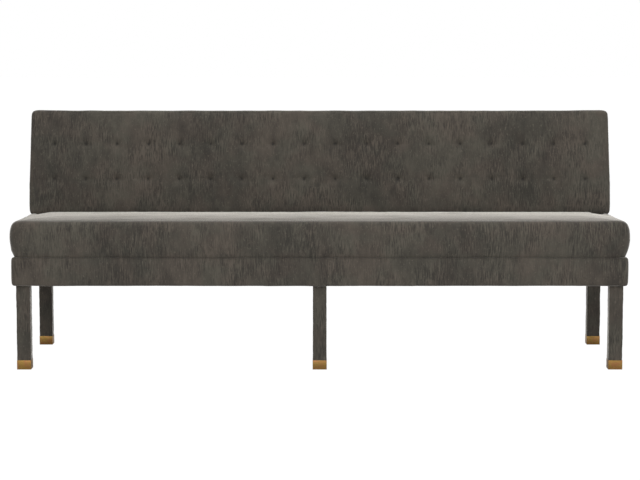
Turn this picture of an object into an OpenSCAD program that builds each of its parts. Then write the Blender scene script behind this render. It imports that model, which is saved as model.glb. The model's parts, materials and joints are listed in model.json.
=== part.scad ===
// Upholstered banquette bench: fabric-wrapped legs, tight seat and tufted raked back.
// Origin on the floor under the middle of the bounding box, front towards -Y, millimetres.

/* [Overall] */
// Width over the seat cushion
seat_w = 2134; // [1900:1:2400]
// Depth from the front of the seat to the back of the outside back
overall_d = 640; // [620:1:700]
// Height of the top of the back
overall_h = 879; // [850:1:960]

/* [Legs] */
// Side of the square leg over its cloth
leg_size = 47.5; // [42:0.5:56]
// Distance of the legs from the side of the apron
leg_inset_side = 13.8; // [11:0.1:20]
// Distance of the front legs from the front of the apron
leg_inset_front = 19; // [15:0.5:26]
// Distance from the front of the front legs to the front of the rear legs
leg_reach = 543; // [520:1:560]
// Radius of the leg's upright edges
leg_edge_r = 3; // [1:0.5:6]
// Side of the square brass ferrule
ferrule_size = 49; // [48.5:0.1:60]
// Height of the ferrule
ferrule_h = 32; // [20:1:60]
// Diameter of the nail-on glide
glide_d = 22; // [14:1:34]
// Height of the glide under the ferrule
glide_h = 1.5; // [1:0.1:4]
// Diameter of the glide's nail
glide_nail_d = 3; // [2:0.1:5]
// Length of the glide's nail above the ferrule's floor
glide_nail_l = 20; // [12:1:40]

/* [Base frame] */
// Height of the apron's lower edge above the floor
apron_z = 296; // [240:1:340]
// Height of the apron
apron_h = 98.5; // [85:0.5:120]
// Width over the apron
apron_w = 2127.6; // [1890:0.1:2390]
// Distance of the apron's front from the seat's front
apron_setback = 3; // [1:0.5:8]
// Outward swell of the apron at mid height
apron_swell = 1.5; // [0.5:0.1:3]
// Radius of the apron's upper and lower edges
apron_edge_r = 9; // [5:0.5:12]
// Radius of the apron's front corners, seen from above
apron_corner_r = 18; // [8:1:30]
// Thickness of the seat rails
rail_t = 22; // [18:1:28]
// Height of the cross rails
cross_rail_h = 70; // [50:1:84]
// Share of the half width at which the outer cross rails stand
cross_rail_share = 0.48; // [0.44:0.01:0.52]
// Diameter of the frame dowels
dowel_d = 10; // [6:0.5:12]
// Length of the frame dowels
dowel_l = 50; // [36:1:60]
// Depth of a dowel in the side of a rail
dowel_side_depth = 15; // [10:1:17]
// Length of the corner blocks along each rail
block_leg = 72; // [60:1:84]
// Height of the corner blocks
block_h = 40; // [30:1:60]
// Diameter of the wood screws
screw_d = 4; // [3:0.5:5]
// Length of the wood screws
screw_l = 34; // [28:1:40]
// Diameter of the screws' heads
screw_head_d = 8; // [6:0.5:10]
// Height of the screws' heads
screw_head_h = 2.4; // [1.5:0.1:4]

/* [Seat] */
// Depth of the seat in front of the back
seat_inside_d = 485; // [460:1:500]
// Distance that the seat runs in under the back
seat_tuck = 45.7; // [30:0.1:47]
// Height of the seat's front edge above the seam
seat_edge_h = 127; // [100:1:150]
// Rise of the crown above the seat's edges
seat_crown = 10; // [4:0.5:18]
// Slope of the seat top down to the back
seat_tilt = 1.8; // [0:0.1:3]
// Radius of the seat's corners, seen from above
seat_corner_r = 36; // [20:1:60]
// Distance that the seat's sides are drawn in at the seam
seat_draw_in = 16; // [8:0.5:22]
// Width of the webbing straps
strap_w = 60; // [40:1:70]
// Thickness of the webbing
strap_t = 1.6; // [1:0.1:2.5]
// Least gap between crosswise straps
strap_gap = 20; // [12:1:40]
// Number of lengthwise straps
strap_rows = 4; // [3:1:5]

/* [Soft layers] */
// Thickness of the fabric with its backing
cover_t = 2; // [1.2:0.1:3]
// Thickness of the fibre wrap on the seat
wrap_t = 8; // [5:0.5:12]
// Thickness of the deck cloth and of the dust cover
cloth_t = 1; // [0.6:0.1:1.5]
// Thickness of the outside back's stiffener
stiffener_t = 1.5; // [1:0.1:3]
// Clearance between layers that lie on each other
gap = 0.2; // [0.1:0.05:0.4]

/* [Back] */
// Width over the back
back_w = 2132; // [1890:1:2390]
// Height of the back's lower edge above the floor
back_z = 495; // [480:1:520]
// Rake of the back's front
back_rake = 11.5; // [9:0.1:12]
// Forward swell of the back between its edges
back_swell = 5; // [0:0.5:9]
// Radius of the back's front edges
back_edge_r = 14; // [8:0.5:18]
// Depth of the back's fibre layer at its thickest, with the cover over it
back_fibre_t = 14; // [12:0.5:16]
// Thickness of the back foam
back_foam_t = 30; // [24:1:34]
// Thickness of the back board
back_board_t = 5; // [3:0.5:8]
// Thickness of the back posts
post_t = 30; // [24:1:36]
// Height of the back's top rail
top_rail_h = 25; // [18:1:34]
// Thickness of the back's bottom rails
bottom_rail_t = 20; // [14:1:24]
// Height of the back's bottom rails
bottom_rail_h = 60; // [40:1:80]
// Thickness of the padding on the ends of the back
end_pad_t = 16; // [12:0.5:22]
// Thickness of the back's end boards
end_board_t = 12; // [8:1:15]
// Diameter of the bolts that hold the back posts
bolt_d = 8; // [6:0.5:10]
// Width across the flats of the bolts' nuts
nut_w = 13; // [11:0.5:17]
// Height of the nuts
nut_h = 6.5; // [5:0.5:8]

/* [Tufts] */
// Number of tufts in a row
tuft_cols = 18; // [12:2:20]
// Distance between tufts in a row
tuft_pitch = 115.2; // [90:0.1:118]
// Height of the lower row above the back's lower edge
tuft_rise = 133; // [110:1:150]
// Distance between the two rows, measured upright
tuft_row_pitch = 128; // [110:1:150]
// Depth of a tuft
tuft_depth = 9; // [4:0.5:10]
// Half height of a tuft's dimple
tuft_reach = 28; // [20:1:40]
// Length of a tuft's stitch
stitch_l = 6; // [4:0.5:8]
// Diameter of the tufting twine
twine_d = 1.6; // [1:0.1:2.2]
// Diameter of the toggle behind the back board
toggle_d = 5; // [4:0.5:7]
// Length of the toggle
toggle_l = 16; // [12:1:20]

/* [Hidden] */
leg_names = ["front_left", "front_centre", "front_right", "rear_left", "rear_centre", "rear_right"];
post_names = ["outer_left", "inner_left", "inner_right", "outer_right"];
side_names = ["left", "right"];
cross_names = ["left", "centre", "right"];

function named(stem, names) = [for (n = names) str(stem, "_", n)];

// Colours
fabric = "#4b4843";
fabric_inside = "#5a564f";
brass = "#a9793f";
nylon = "#2b2b2b";
beech = "#c9a777";
ply = "#d3b98d";
foam = "#e6dfb8";
fibre = "#f2f2ee";
jute = "#9c8357";
black_cloth = "#1f1f1f";
card = "#b59a6c";
zinc = "#b9bcc0";
thread = "#33302c";

// Roundness of turned pieces, and one overrun for every cut
$fn = 48;
over = 1;

// Legs: the post under the cloth, and the centres of the six legs
post_size = leg_size - 2 * cover_t;
apron_half = apron_w / 2;
seat_front = -overall_d / 2;
apron_front = seat_front + apron_setback;
leg_outer_x = apron_half - leg_inset_side;
leg_x = leg_outer_x - leg_size / 2;
leg_front_y = apron_front + leg_inset_front + leg_size / 2;
leg_rear_y = leg_front_y + leg_reach;
ferrule_t = (ferrule_size - leg_size) / 2 - gap / 4;
post_foot_z = glide_h + ferrule_t;
hole_gap = 0.1;

function leg_at(i) = [(i % 3 - 1) * leg_x, i < 3 ? leg_front_y : leg_rear_y];
function is_centre(i) = i % 3 == 1;

// Back: its slope and height
rake = tan(back_rake);
back_h = overall_h - back_z;

// Base frame: faces of the posts and rails
frame_half = leg_x + post_size / 2;
frame_front = leg_front_y - post_size / 2;
frame_rear = leg_rear_y + post_size / 2;
post_in_x = leg_x - post_size / 2;
post_in_front = leg_front_y + post_size / 2;
post_in_rear = leg_rear_y - post_size / 2;
seam_z = apron_z + apron_h;
rail_z = apron_z + cover_t + gap;
web_top = seam_z - gap - strap_t;
rail_top = seam_z - 2 * (strap_t + gap) - gap;
rail_h = rail_top - rail_z;
deck_z = seam_z;
deck_top = deck_z + cloth_t;
cross_x = [-cross_rail_share * apron_half, 0, cross_rail_share * apron_half];
dowel_z = [rail_z + rail_h / 4, rail_top - rail_h / 4];
front_rail_y = frame_front + rail_t / 2;
rear_rail_y = frame_rear - rail_t / 2;
side_rail_x = frame_half - rail_t / 2;

// Seat: rear edge, and the profile of its side as [inset, share of the height, share of the crown]
back_foot_y = seat_front + seat_inside_d;
seat_rear = back_foot_y + seat_tuck;
seat_half = seat_w / 2;
back_clear = cover_t;
seat_half_d = (seat_rear - seat_front) / 2;
deck_rear = seat_rear - seat_draw_in - 2 * cover_t;
side_shares = [
    [1, 0], [0.7, 0.09], [0.4, 0.21], [0, 0.48], [0.06, 0.75], [0.32, 0.89], [0.9, 0.97], [2.1, 1]
];
top_shares = [[0.3, 0.5], [0.56, 0.85], [0.85, 1]];
inner_post_share = 0.375;
press_y = seat_rear - top_shares[0][0] * seat_half_d;
corner_steps = 4;
front_steps = 9;
end_steps = 3;

// Back: planes of the front and of the rear, as functions of the height
outside_t = stiffener_t + cover_t + 2 * gap;
full_dz = back_edge_r * 0.8;
outside_top = overall_h - full_dz;
rear_lean = (overall_d / 2 - outside_t - frame_rear) / (outside_top - rail_top);
pad_t = back_fibre_t + back_foam_t + back_board_t + 3 * gap;
post_front = back_foot_y + pad_t / cos(back_rake);
back_half = back_w / 2;
back_mid = back_z + back_h / 2;
post_foot = rail_z + rail_h / 8;
frame_top = overall_h - back_edge_r + gap;
back_frame_half = back_half - cover_t - end_pad_t;
end_board_x = back_frame_half - end_board_t;
tuft_x = [for (k = [0:tuft_cols - 1]) (k - (tuft_cols - 1) / 2) * tuft_pitch];
tuft_z = [back_z + tuft_rise, back_z + tuft_rise + tuft_row_pitch];

// Posts stand midway between two tufts: the outer ones as far out as the two frames allow
outer_post = floor((min(post_in_x, end_board_x) - post_t) / tuft_pitch);
inner_post = round(inner_post_share * outer_post);
post_x = [for (k = [-outer_post, -inner_post, inner_post, outer_post]) k * tuft_pitch];
bolt_z = [rail_z + rail_h * 0.36, rail_z + rail_h * 0.68];
bolt_head_h = bolt_d * 0.45;
bolt_head_d = bolt_d * 2.2;

function face_y(z) = back_foot_y + (z - back_z) * rake;
function rear_y(z) = frame_rear + max(0, z - rail_top) * rear_lean;
function board_y(z) = post_front + max(0, z - back_z) * rake;

// Shapes

// Two triangles of a four-cornered face, cut from its first corner or from its second
function quad(a, b, c, d, second) = second ? [[a, b, d], [b, c, d]] : [[a, b, c], [a, c, d]];

// Closed loft: rings run anticlockwise seen from the first cap, first and last are capped at a centre;
// the rings from turn on are those of an inner surface, cut into the same triangles as an outer one
module loft(rings, first, last, turn) {
    n = len(rings[0]);
    m = len(rings) - 1;
    points = concat([for (r = rings) each r], [first, last]);
    c = n * (m + 1);
    polyhedron(points, concat(
        [for (i = [0:n - 1]) [c, (i + 1) % n, i]],
        [for (k = [0:m - 1]) for (i = [0:n - 1]) let (j = (i + 1) % n)
            each quad(k * n + i, k * n + j, (k + 1) * n + j, (k + 1) * n + i, k >= turn)],
        [for (i = [0:n - 1]) [c + 1, m * n + i, m * n + (i + 1) % n]]
    ));
}

// Quarter circle about x, y in n steps from an angle
function arc(x, y, r, from, n) = [for (k = [0:n]) let (a = from + 90 * k / n)
    [x + r * cos(a), y + r * sin(a)]];
function between(a, b, n) = [for (k = [1:n]) a + (b - a) * k / (n + 1)];

// Rounded rectangle from its corners, radius and steps, anticlockwise from the front right
function rounded(x0, y0, x1, y1, r, n, nx, ny) = concat(
    arc(x1 - r, y0 + r, r, -90, n), between([x1, y0 + r], [x1, y1 - r], ny),
    arc(x1 - r, y1 - r, r, 0, n), between([x1 - r, y1], [x0 + r, y1], nx),
    arc(x0 + r, y1 - r, r, 90, n), between([x0, y1 - r], [x0, y0 + r], ny),
    arc(x0 + r, y0 + r, r, 180, n), between([x0 + r, y0], [x1 - r, y0], nx)
);

// Box given by its two corners
module block(a, b) {
    translate(a) cube(b - a);
}

// Outline in Y and Z, run along X from x0 to x1
module along_x(x0, x1) {
    translate([x0, 0, 0]) rotate([90, 0, 90]) linear_extrude(x1 - x0) children();
}

module rod_x(d, at, l) {
    translate(at) rotate([0, 90, 0]) cylinder(d = d, h = l);
}

module rod_y(d, at, l) {
    translate(at) rotate([-90, 0, 0]) cylinder(d = d, h = l);
}

// Legs

// Square tube or bar with eased edges, centred on the leg
module square_bar(side, r, z0, z1) {
    translate([0, 0, z0]) linear_extrude(z1 - z0)
        polygon(rounded(-side / 2, -side / 2, side / 2, side / 2, r, corner_steps, 0, 0));
}

module at_leg(i) {
    translate([leg_at(i)[0], leg_at(i)[1], 0]) children();
}

module leg_post(i) {
    top = is_centre(i) ? rail_z : rail_top;
    color(beech) difference() {
        at_leg(i) square_bar(post_size, leg_edge_r / 2, post_foot_z, top);
        at_leg(i) translate([0, 0, post_foot_z - over])
            cylinder(d = glide_nail_d + hole_gap, h = glide_nail_l + over);
        dowels(hole_gap);
    }
}

module leg_cover(i) {
    color(fabric) at_leg(i) difference() {
        square_bar(leg_size, leg_edge_r, post_foot_z, apron_z - gap);
        square_bar(post_size, leg_edge_r / 2, post_foot_z - over, apron_z + over);
    }
}

module ferrule(i) {
    color(brass) at_leg(i) difference() {
        square_bar(ferrule_size, leg_edge_r, glide_h, glide_h + ferrule_h);
        square_bar(leg_size, leg_edge_r, post_foot_z, glide_h + ferrule_h + over);
        cylinder(d = glide_nail_d + hole_gap, h = post_foot_z + over);
    }
}

module glides() {
    color(nylon) for (i = [0:len(leg_names) - 1]) at_leg(i) {
        cylinder(d = glide_d, h = glide_h);
        cylinder(d = glide_nail_d, h = post_foot_z + glide_nail_l - gap);
    }
}

// Base frame

// Every dowel of the frame, grown by the hole's clearance where it cuts its hole
module dowels(extra) {
    d = dowel_d + extra;
    l = dowel_l + extra;
    for (s = [-1, 1]) for (z = dowel_z) {
        for (y = [front_rail_y, rear_rail_y]) rod_x(d, [s * post_in_x - l / 2, y, z], l);
        for (y = [post_in_front, post_in_rear]) rod_y(d, [s * side_rail_x, y - l / 2, z], l);
    }
    for (x = cross_x) for (z = dowel_z) {
        rod_y(d, [x, frame_front + rail_t - dowel_side_depth - extra, z], l);
        rod_y(d, [x, frame_rear - rail_t + dowel_side_depth + extra - l, z], l);
    }
    for (s = [-1, 1]) for (y = [front_rail_y, rear_rail_y])
        translate([s * post_size / 4, y, rail_z - l / 2]) cylinder(d = d, h = l);
}

module frame_dowels() {
    color(beech) dowels(0);
}

// Screws of the corner blocks: one into each rail
module block_screws(extra) {
    d = screw_d + extra;
    head = screw_head_d + extra;
    from = block_leg * 0.42;
    z = rail_z + rail_h / 2;
    for (s = [-1, 1]) for (t = [0, 1]) {
        side_y = t == 0 ? frame_front + rail_t + from : frame_rear - rail_t - from;
        in_x = frame_half - rail_t;
        tip = in_x + rail_t * 0.7;
        mirror([s < 0 ? 1 : 0, 0, 0]) {
            rod_x(d, [tip - screw_l, side_y, z], screw_l + extra);
            rod_x(head, [tip - screw_l - screw_head_h, side_y, z], screw_head_h);
        }
    }
}

module corner_block_screws() {
    color(zinc) block_screws(0);
}

module corner_blocks() {
    in_x = frame_half - rail_t;
    z = rail_z + (rail_h - block_h) / 2;
    color(beech) difference() {
        for (sx = [0, 1]) for (sy = [0, 1]) {
            in_y = sy == 0 ? frame_front + rail_t : -(frame_rear - rail_t);
            post_y = sy == 0 ? post_in_front : -post_in_rear;
            mirror([sx, 0, 0]) mirror([0, sy, 0]) translate([0, 0, z]) linear_extrude(block_h)
                polygon([
                    [in_x, post_y], [in_x, in_y + block_leg], [in_x - block_leg, in_y],
                    [post_in_x, in_y], [post_in_x, post_y]
                ]);
        }
        block_screws(hole_gap);
    }
}

module seat_rail_front() {
    color(beech) difference() {
        block([-post_in_x, frame_front, rail_z], [post_in_x, frame_front + rail_t, rail_top]);
        dowels(hole_gap);
    }
}

module seat_rail_rear() {
    color(beech) difference() {
        block([-post_in_x, frame_rear - rail_t, rail_z], [post_in_x, frame_rear, rail_top]);
        dowels(hole_gap);
        post_bolts(hole_gap);
    }
}

module seat_rail_side(s) {
    color(beech) difference() {
        mirror([s < 0 ? 1 : 0, 0, 0])
            block([frame_half - rail_t, post_in_front, rail_z], [frame_half, post_in_rear, rail_top]);
        dowels(hole_gap);
        block_screws(hole_gap);
    }
}

module cross_rail(x) {
    low = [x - rail_t / 2, frame_front + rail_t, rail_top - cross_rail_h];
    color(beech) difference() {
        block(low, [x + rail_t / 2, frame_rear - rail_t, rail_top]);
        dowels(hole_gap);
    }
}

// Seat suspension

// Clear runs between the cross rails, back posts, end boards and side rails, on the right half
strap_runs = [
    [rail_t / 2, post_x[2] - post_t / 2],
    [post_x[2] + post_t / 2, cross_x[2] - rail_t / 2],
    [cross_x[2] + rail_t / 2, post_x[3] - post_t / 2],
    [post_x[3] + post_t / 2, min(end_board_x, frame_half - rail_t)],
    [end_board_x + end_board_t, frame_half - rail_t]
];
strap_half = [for (r = strap_runs) let (n = floor((r[1] - r[0]) / (strap_w + strap_gap)))
    for (k = [1:1:n]) r[0] + (r[1] - r[0]) * (k - 0.5) / n];
strap_x = concat([for (k = [len(strap_half) - 1:-1:0]) -strap_half[k]], strap_half);
row_y0 = frame_front + rail_t;
strap_end = rail_t / 10;
row_y = [for (k = [0:strap_rows - 1]) row_y0 + (seat_rear - row_y0) * (k + 0.5) / strap_rows];

module seat_webbing_crosswise() {
    color(jute) for (x = strap_x)
        block(
            [x - strap_w / 2, frame_front + strap_end, rail_top],
            [x + strap_w / 2, frame_rear - strap_end, rail_top + strap_t]
        );
}

// Level of a lengthwise strap under or over each crosswise one, and on the cross rails
function level(over_it) = rail_top + (over_it ? strap_t + gap : -strap_t - gap);
function stops(parity) = concat(
    [[-frame_half + strap_end, -frame_half + rail_t, rail_top]],
    [for (k = [0:len(strap_x) - 1])
        [strap_x[k] - strap_w / 2 - gap, strap_x[k] + strap_w / 2 + gap, level((k + parity) % 2 == 0)]],
    [[frame_half - rail_t, frame_half - strap_end, rail_top]]
);
function on_rail(x) = [x - rail_t / 2 - gap, x + rail_t / 2 + gap, rail_top];
function rails_in(x0, x1) = [for (x = cross_x) if (x0 < x && x < x1) on_rail(x)];
function with_rails(s) = [for (k = [0:len(s) - 1])
    each concat([s[k]], k + 1 < len(s) ? rails_in(s[k][1], s[k + 1][0]) : [])];

module seat_webbing_lengthwise() {
    color(jute) for (k = [0:strap_rows - 1]) {
        line = [for (s = with_rails(stops(k % 2))) each [[s[0], s[2]], [s[1], s[2]]]];
        upper = [for (i = [len(line) - 1:-1:0]) line[i] + [0, strap_t]];
        translate([0, row_y[k] + strap_w / 2, 0]) rotate([90, 0, 0]) linear_extrude(strap_w)
            polygon(concat(line, upper));
    }
}

module seat_deck_cloth() {
    color(fabric_inside)
        block(
            [-frame_half + rail_t / 2, frame_front + rail_t / 2, deck_z],
            [frame_half - rail_t / 2, deck_rear, deck_top]
        );
}

// Seat upholstery

// Height of the seat's upper edges, pressed down where they run in under the back
function plain_edge_z(y) = seam_z + seat_edge_h - tan(seat_tilt) * (y - seat_front);
function pressed(y) = max(0, min(1, (y - press_y) / (back_foot_y - press_y)));
press_dz = max(0, plain_edge_z(back_foot_y) - back_z + back_clear);
function seat_edge_z(y) = plain_edge_z(y) - pressed(y) * press_dz;

// One ring of the seat's form for a layer that lies off below the outer surface
function seat_outline(a) = rounded(
    -seat_half + a, seat_front + a, seat_half - a, seat_rear - a,
    max(seat_corner_r - a, seat_corner_r / 9), corner_steps, front_steps, end_steps
);
function seat_ring(inset, share, crown, off, base) = [for (p = seat_outline(inset + (crown > 0 ? 0 : off)))
    [p[0], p[1], base + share * (seat_edge_z(p[1]) - base - off) + crown * seat_crown]];
function side_rows(off, base) = [for (k = [len(side_shares) - 1:-1:0])
    seat_ring(side_shares[k][0] * seat_draw_in, side_shares[k][1], 0, off, base)];
function top_rows(off, base) = [for (k = [len(top_shares) - 1:-1:0])
    seat_ring(top_shares[k][0] * seat_half_d, 1, top_shares[k][1], off, base)];
function seat_rings(off, base) = concat(top_rows(off, base), side_rows(off, base));
function reversed(list) = [for (k = [len(list) - 1:-1:0]) list[k]];
seat_mid_y = seat_front + seat_half_d;
function seat_crest(off) = [0, seat_mid_y, seat_edge_z(seat_mid_y) - off + seat_crown];

module seat_layer(off, t, base) {
    outer = seat_rings(off, base);
    inner = reversed(seat_rings(off + t, base));
    loft(concat(outer, inner), seat_crest(off), seat_crest(off + t), len(outer));
}

module seat_cover() {
    color(fabric) seat_layer(0, cover_t, seam_z + gap);
}

module seat_fibre_wrap() {
    color(fibre) seat_layer(cover_t + gap, wrap_t, deck_top + gap);
}

module seat_foam_core() {
    off = cover_t + wrap_t + 2 * gap;
    base = deck_top + gap;
    rings = seat_rings(off, base);
    color(foam) loft(rings, seat_crest(off), [0, seat_mid_y, base], len(rings));
}

// Apron

// U-shaped path round the front of the frame, at a distance from its outer faces
function u_path(out_x, out_y, y_end, r) = let (x = frame_half + out_x, y = frame_front - out_y) concat(
    [[-x, y_end]], arc(-x + r, y + r, r, 180, corner_steps),
    between([-x + r, y], [x - r, y], front_steps),
    arc(x - r, y + r, r, -90, corner_steps), [[x, y_end]]
);
apron_out_x = apron_half - frame_half;
apron_out_y = frame_front - apron_front;
apron_end_y = frame_rear + stiffener_t;

// Section of the apron's cloth: [distance in at the ends, distance in at the front, height]
function turned(z) = [apron_out_x - gap, apron_out_y - gap, z];
function apron_line(off) = let (r = apron_edge_r, z0 = apron_z + off, z1 = seam_z - off, line = [
        [r, z0], [r * 0.3 + off * 0.7, z0 + r * 0.3], [off + apron_swell * 0.6, z0 + r], [off, (z0 + z1) / 2],
        [off + apron_swell * 0.6, z1 - r], [r * 0.3 + off * 0.7, z1 - r * 0.3], [r, z1]
    ])
    concat([turned(z0)], [for (p = line) [p[0], p[0], p[1]]], [turned(z1)]);
apron_loop = concat(apron_line(0), reversed(apron_line(cover_t)));

module apron_cover() {
    n = len(apron_loop);
    half = n / 2;
    function corner(d) = max(apron_corner_r - d, apron_corner_r / 9);
    lines = [for (p = apron_loop) u_path(apron_out_x - p[0], apron_out_y - p[1], apron_end_y, corner(p[0]))];
    m = len(lines[0]);
    points = [for (j = [0:m - 1]) for (i = [0:n - 1]) [lines[i][j][0], lines[i][j][1], apron_loop[i][2]]];
    last = (m - 1) * n;
    color(fabric) polyhedron(points, concat(
        [for (j = [0:m - 2]) for (i = [0:n - 1]) [j * n + i, j * n + (i + 1) % n, (j + 1) * n + (i + 1) % n]],
        [for (j = [0:m - 2]) for (i = [0:n - 1]) [j * n + i, (j + 1) * n + (i + 1) % n, (j + 1) * n + i]],
        [for (i = [0:half - 2]) [i, n - 2 - i, i + 1]],
        [for (i = [0:half - 2]) [i, n - 1 - i, n - 2 - i]],
        [for (i = [0:half - 2]) [last + i, last + i + 1, last + n - 2 - i]],
        [for (i = [0:half - 2]) [last + i, last + n - 2 - i, last + n - 1 - i]]
    ));
}

module apron_padding() {
    t = cover_t + apron_edge_r * 0.3 + gap;
    color(fibre) translate([0, 0, rail_z + apron_edge_r / 3])
        linear_extrude(apron_h - 2 * (cover_t + gap) - 2 * apron_edge_r / 3)
        polygon(concat(
            u_path(apron_out_x - t, apron_out_y - t, frame_rear, apron_corner_r),
            reversed(u_path(gap, gap, frame_rear, leg_edge_r / 2 + gap))
        ));
}

module dust_cover() {
    color(black_cloth) difference() {
        block([-frame_half, frame_front, rail_z - cloth_t], [frame_half, frame_rear, rail_z]);
        for (i = [0:len(leg_names) - 1])
            at_leg(i) square_bar(leg_size, leg_edge_r, apron_z - over, rail_z + over);
    }
}

// Back frame

module post_outline(front, top) {
    polygon([
        [front, post_foot], [frame_rear - rail_t, post_foot], [frame_rear - rail_t, rail_top],
        [rear_y(rail_top), rail_top], [rear_y(top), top], [board_y(top), top], [board_y(back_z), back_z],
        [front, back_z]
    ]);
}

module back_post(x) {
    color(beech) difference() {
        along_x(x - post_t / 2, x + post_t / 2) post_outline(post_front, frame_top - top_rail_h);
        post_bolts(hole_gap);
    }
}

module end_outline(z0, top) {
    polygon([
        [post_front, z0], [rear_y(z0), z0], [rear_y(top), top], [board_y(top), top], [board_y(back_z), back_z]
    ]);
}

// Section between the planes of the front and the rear of the frame
module slanted(z0, z1) {
    polygon([[board_y(z0), z0], [rear_y(z0), z0], [rear_y(z1), z1], [board_y(z1), z1]]);
}

module back_end_board(s) {
    x0 = s < 0 ? -back_frame_half : end_board_x;
    color(ply) along_x(x0, x0 + end_board_t) end_outline(rail_top, frame_top);
}

module back_top_rail() {
    z0 = frame_top - top_rail_h;
    color(beech) along_x(-end_board_x, end_board_x) slanted(z0, frame_top);
}

module back_bottom_rails() {
    ends = concat([-end_board_x], [for (x = post_x) each [x - post_t / 2, x + post_t / 2]], [end_board_x]);
    z0 = inside_z;
    z1 = z0 + bottom_rail_h;
    color(beech) for (k = [0:2:len(ends) - 2]) along_x(ends[k], ends[k + 1])
        polygon([
            [board_y(z0), z0], [board_y(z0) + bottom_rail_t, z0],
            [board_y(z1) + bottom_rail_t, z1], [board_y(z1), z1]
        ]);
}

// Bolts of the back posts, heads let into the rear rail; grown by the clearance for their holes
module post_bolts(extra) {
    d = bolt_d + extra;
    for (x = post_x) for (z = bolt_z) {
        rod_y(d, [x, post_front - nut_h - over, z], frame_rear - post_front + nut_h + over);
        rod_y(bolt_head_d + extra, [x, frame_rear - bolt_head_h, z], bolt_head_h + extra);
    }
}

module back_post_bolts() {
    color(zinc) post_bolts(0);
}

module back_post_nuts() {
    across = nut_w / cos(30);
    color(zinc) for (x = post_x) for (z = bolt_z) difference() {
        translate([x, post_front, z]) rotate([90, 0, 0]) cylinder(d = across, h = nut_h, $fn = 6);
        rod_y(bolt_d + hole_gap, [x, post_front - nut_h - over, z], nut_h + 2 * over);
    }
}

// Back upholstery

// Local frame of the raked front: X along the back, Y up the face, Z out of it towards the sitter
module on_face() {
    translate([0, back_foot_y, back_z]) rotate([90 - back_rake, 0, 0]) children();
}

// Places of the tufts up the face
tuft_v = [for (z = tuft_z) (z - back_z) / cos(back_rake)];
face_l = back_h / cos(back_rake);
corner_pull = back_edge_r * 0.3;
foam_side = back_half - cover_t - back_edge_r * 0.6;
inside_z = back_z + full_dz * 0.1 + cover_t + gap;

// Lowest point up the face at which a layer clears the cover's underside
function low_v(deep) = (inside_z - back_z + deep * sin(back_rake)) / cos(back_rake);

module tuft_rods(d, deep, l) {
    for (x = tuft_x) for (v = tuft_v) translate([x, v, -deep - l]) cylinder(d = d, h = l);
}

module face_slab(half, v0, v1, deep, t) {
    block([-half, v0, -deep - t], [half, v1, -deep]);
}

module back_foam_core() {
    deep = back_fibre_t + gap;
    color(foam) on_face() difference() {
        face_slab(
            foam_side, low_v(deep + back_foam_t) + corner_pull, face_l - 1.6 * back_edge_r,
            deep, back_foam_t
        );
        tuft_rods(twine_d + 4 * gap, deep - over, back_foam_t + 2 * over);
    }
}

module back_board() {
    deep = back_fibre_t + back_foam_t + 2 * gap;
    color(ply) on_face() difference() {
        face_slab(
            back_frame_half, low_v(deep + back_board_t), face_l - 2.6 * back_edge_r,
            deep, back_board_t
        );
        tuft_rods(twine_d + 8 * gap, deep - over, back_board_t + 2 * over);
    }
}

module tuft_twines() {
    color(thread) on_face() tuft_rods(twine_d, back_fibre_t + gap, back_foam_t + back_board_t + 2 * gap);
}

module tuft_toggles() {
    deep = back_fibre_t + back_foam_t + back_board_t + 3 * gap;
    color(beech) on_face() for (x = tuft_x) for (v = tuft_v)
        rod_x(toggle_d, [x - toggle_l / 2, v, -deep - toggle_d / 2], toggle_l);
}

// Grid of the back's front: columns across and rows up, with a tuft where two of them cross
edge_x = back_half - back_edge_r;
edge_z = [back_z + full_dz, overall_h - full_dz];
edge_half_h = (edge_z[1] - edge_z[0]) / 2;
corner_in = back_edge_r * 0.9;
cols = concat(
    [-edge_x, -edge_x + corner_in],
    [for (k = [0:2 * tuft_cols - 2]) (k / 2 - (tuft_cols - 1) / 2) * tuft_pitch],
    [edge_x - corner_in, edge_x]
);
rows = [
    edge_z[0], edge_z[0] + corner_in, tuft_z[0] - tuft_reach, tuft_z[0], tuft_z[0] + tuft_reach,
    tuft_z[1] - tuft_reach, tuft_z[1], tuft_z[1] + tuft_reach, edge_z[1] - corner_in, edge_z[1]
];
nc = len(cols);
nr = len(rows);
function is_tuft(i, j) = i % 2 == 0 && i > 1 && i < nc - 2 && (j == 3 || j == 6);
function at_rim(i, j) = i < 2 || i > nc - 3 || j < 1 || j > nr - 2;
function swell(i, j) = at_rim(i, j) ? 0 : (j < 2 || j > nr - 3) ? 0.5 : 1;
function dip(i, j) = is_tuft(i, j) ? tuft_depth : 0;
function is_corner(i, j) = (i == 0 || i == nc - 1) && (j == 0 || j == nr - 1);
function pull(i, j) = is_corner(i, j) ? corner_pull : 0;
function toward(v, mid, d) = v + (v < mid ? d : -d);

// Grid point of the front, set back by off
function face_point(i, j, off) =
    let (d = pull(i, j), x = toward(cols[i], 0, d), z = toward(rows[j], back_mid, d))
    [x, face_y(z) - swell(i, j) * back_swell + dip(i, j) + off / cos(back_rake), z];
edge_ij = concat(
    [for (i = [0:nc - 1]) [i, 0]], [for (j = [1:nr - 1]) [nc - 1, j]],
    [for (i = [nc - 2:-1:0]) [i, nr - 1]], [for (j = [nr - 2:-1:1]) [0, j]]
);
ne = len(edge_ij);

// Ring round the back: the front's edge spread out to a larger rectangle
function spread(i, j, dx, dz) = let (d = pull(i, j)) [
    toward(cols[i] * (edge_x + dx) / edge_x, 0, d),
    toward(back_mid + (rows[j] - back_mid) * (edge_half_h + dz) / edge_half_h, back_mid, d)
];
function side_ring(dx, dz, setback) = [for (e = edge_ij) let (p = spread(e[0], e[1], dx, dz))
    [p[0], face_y(p[1]) + setback, p[1]]];

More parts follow.
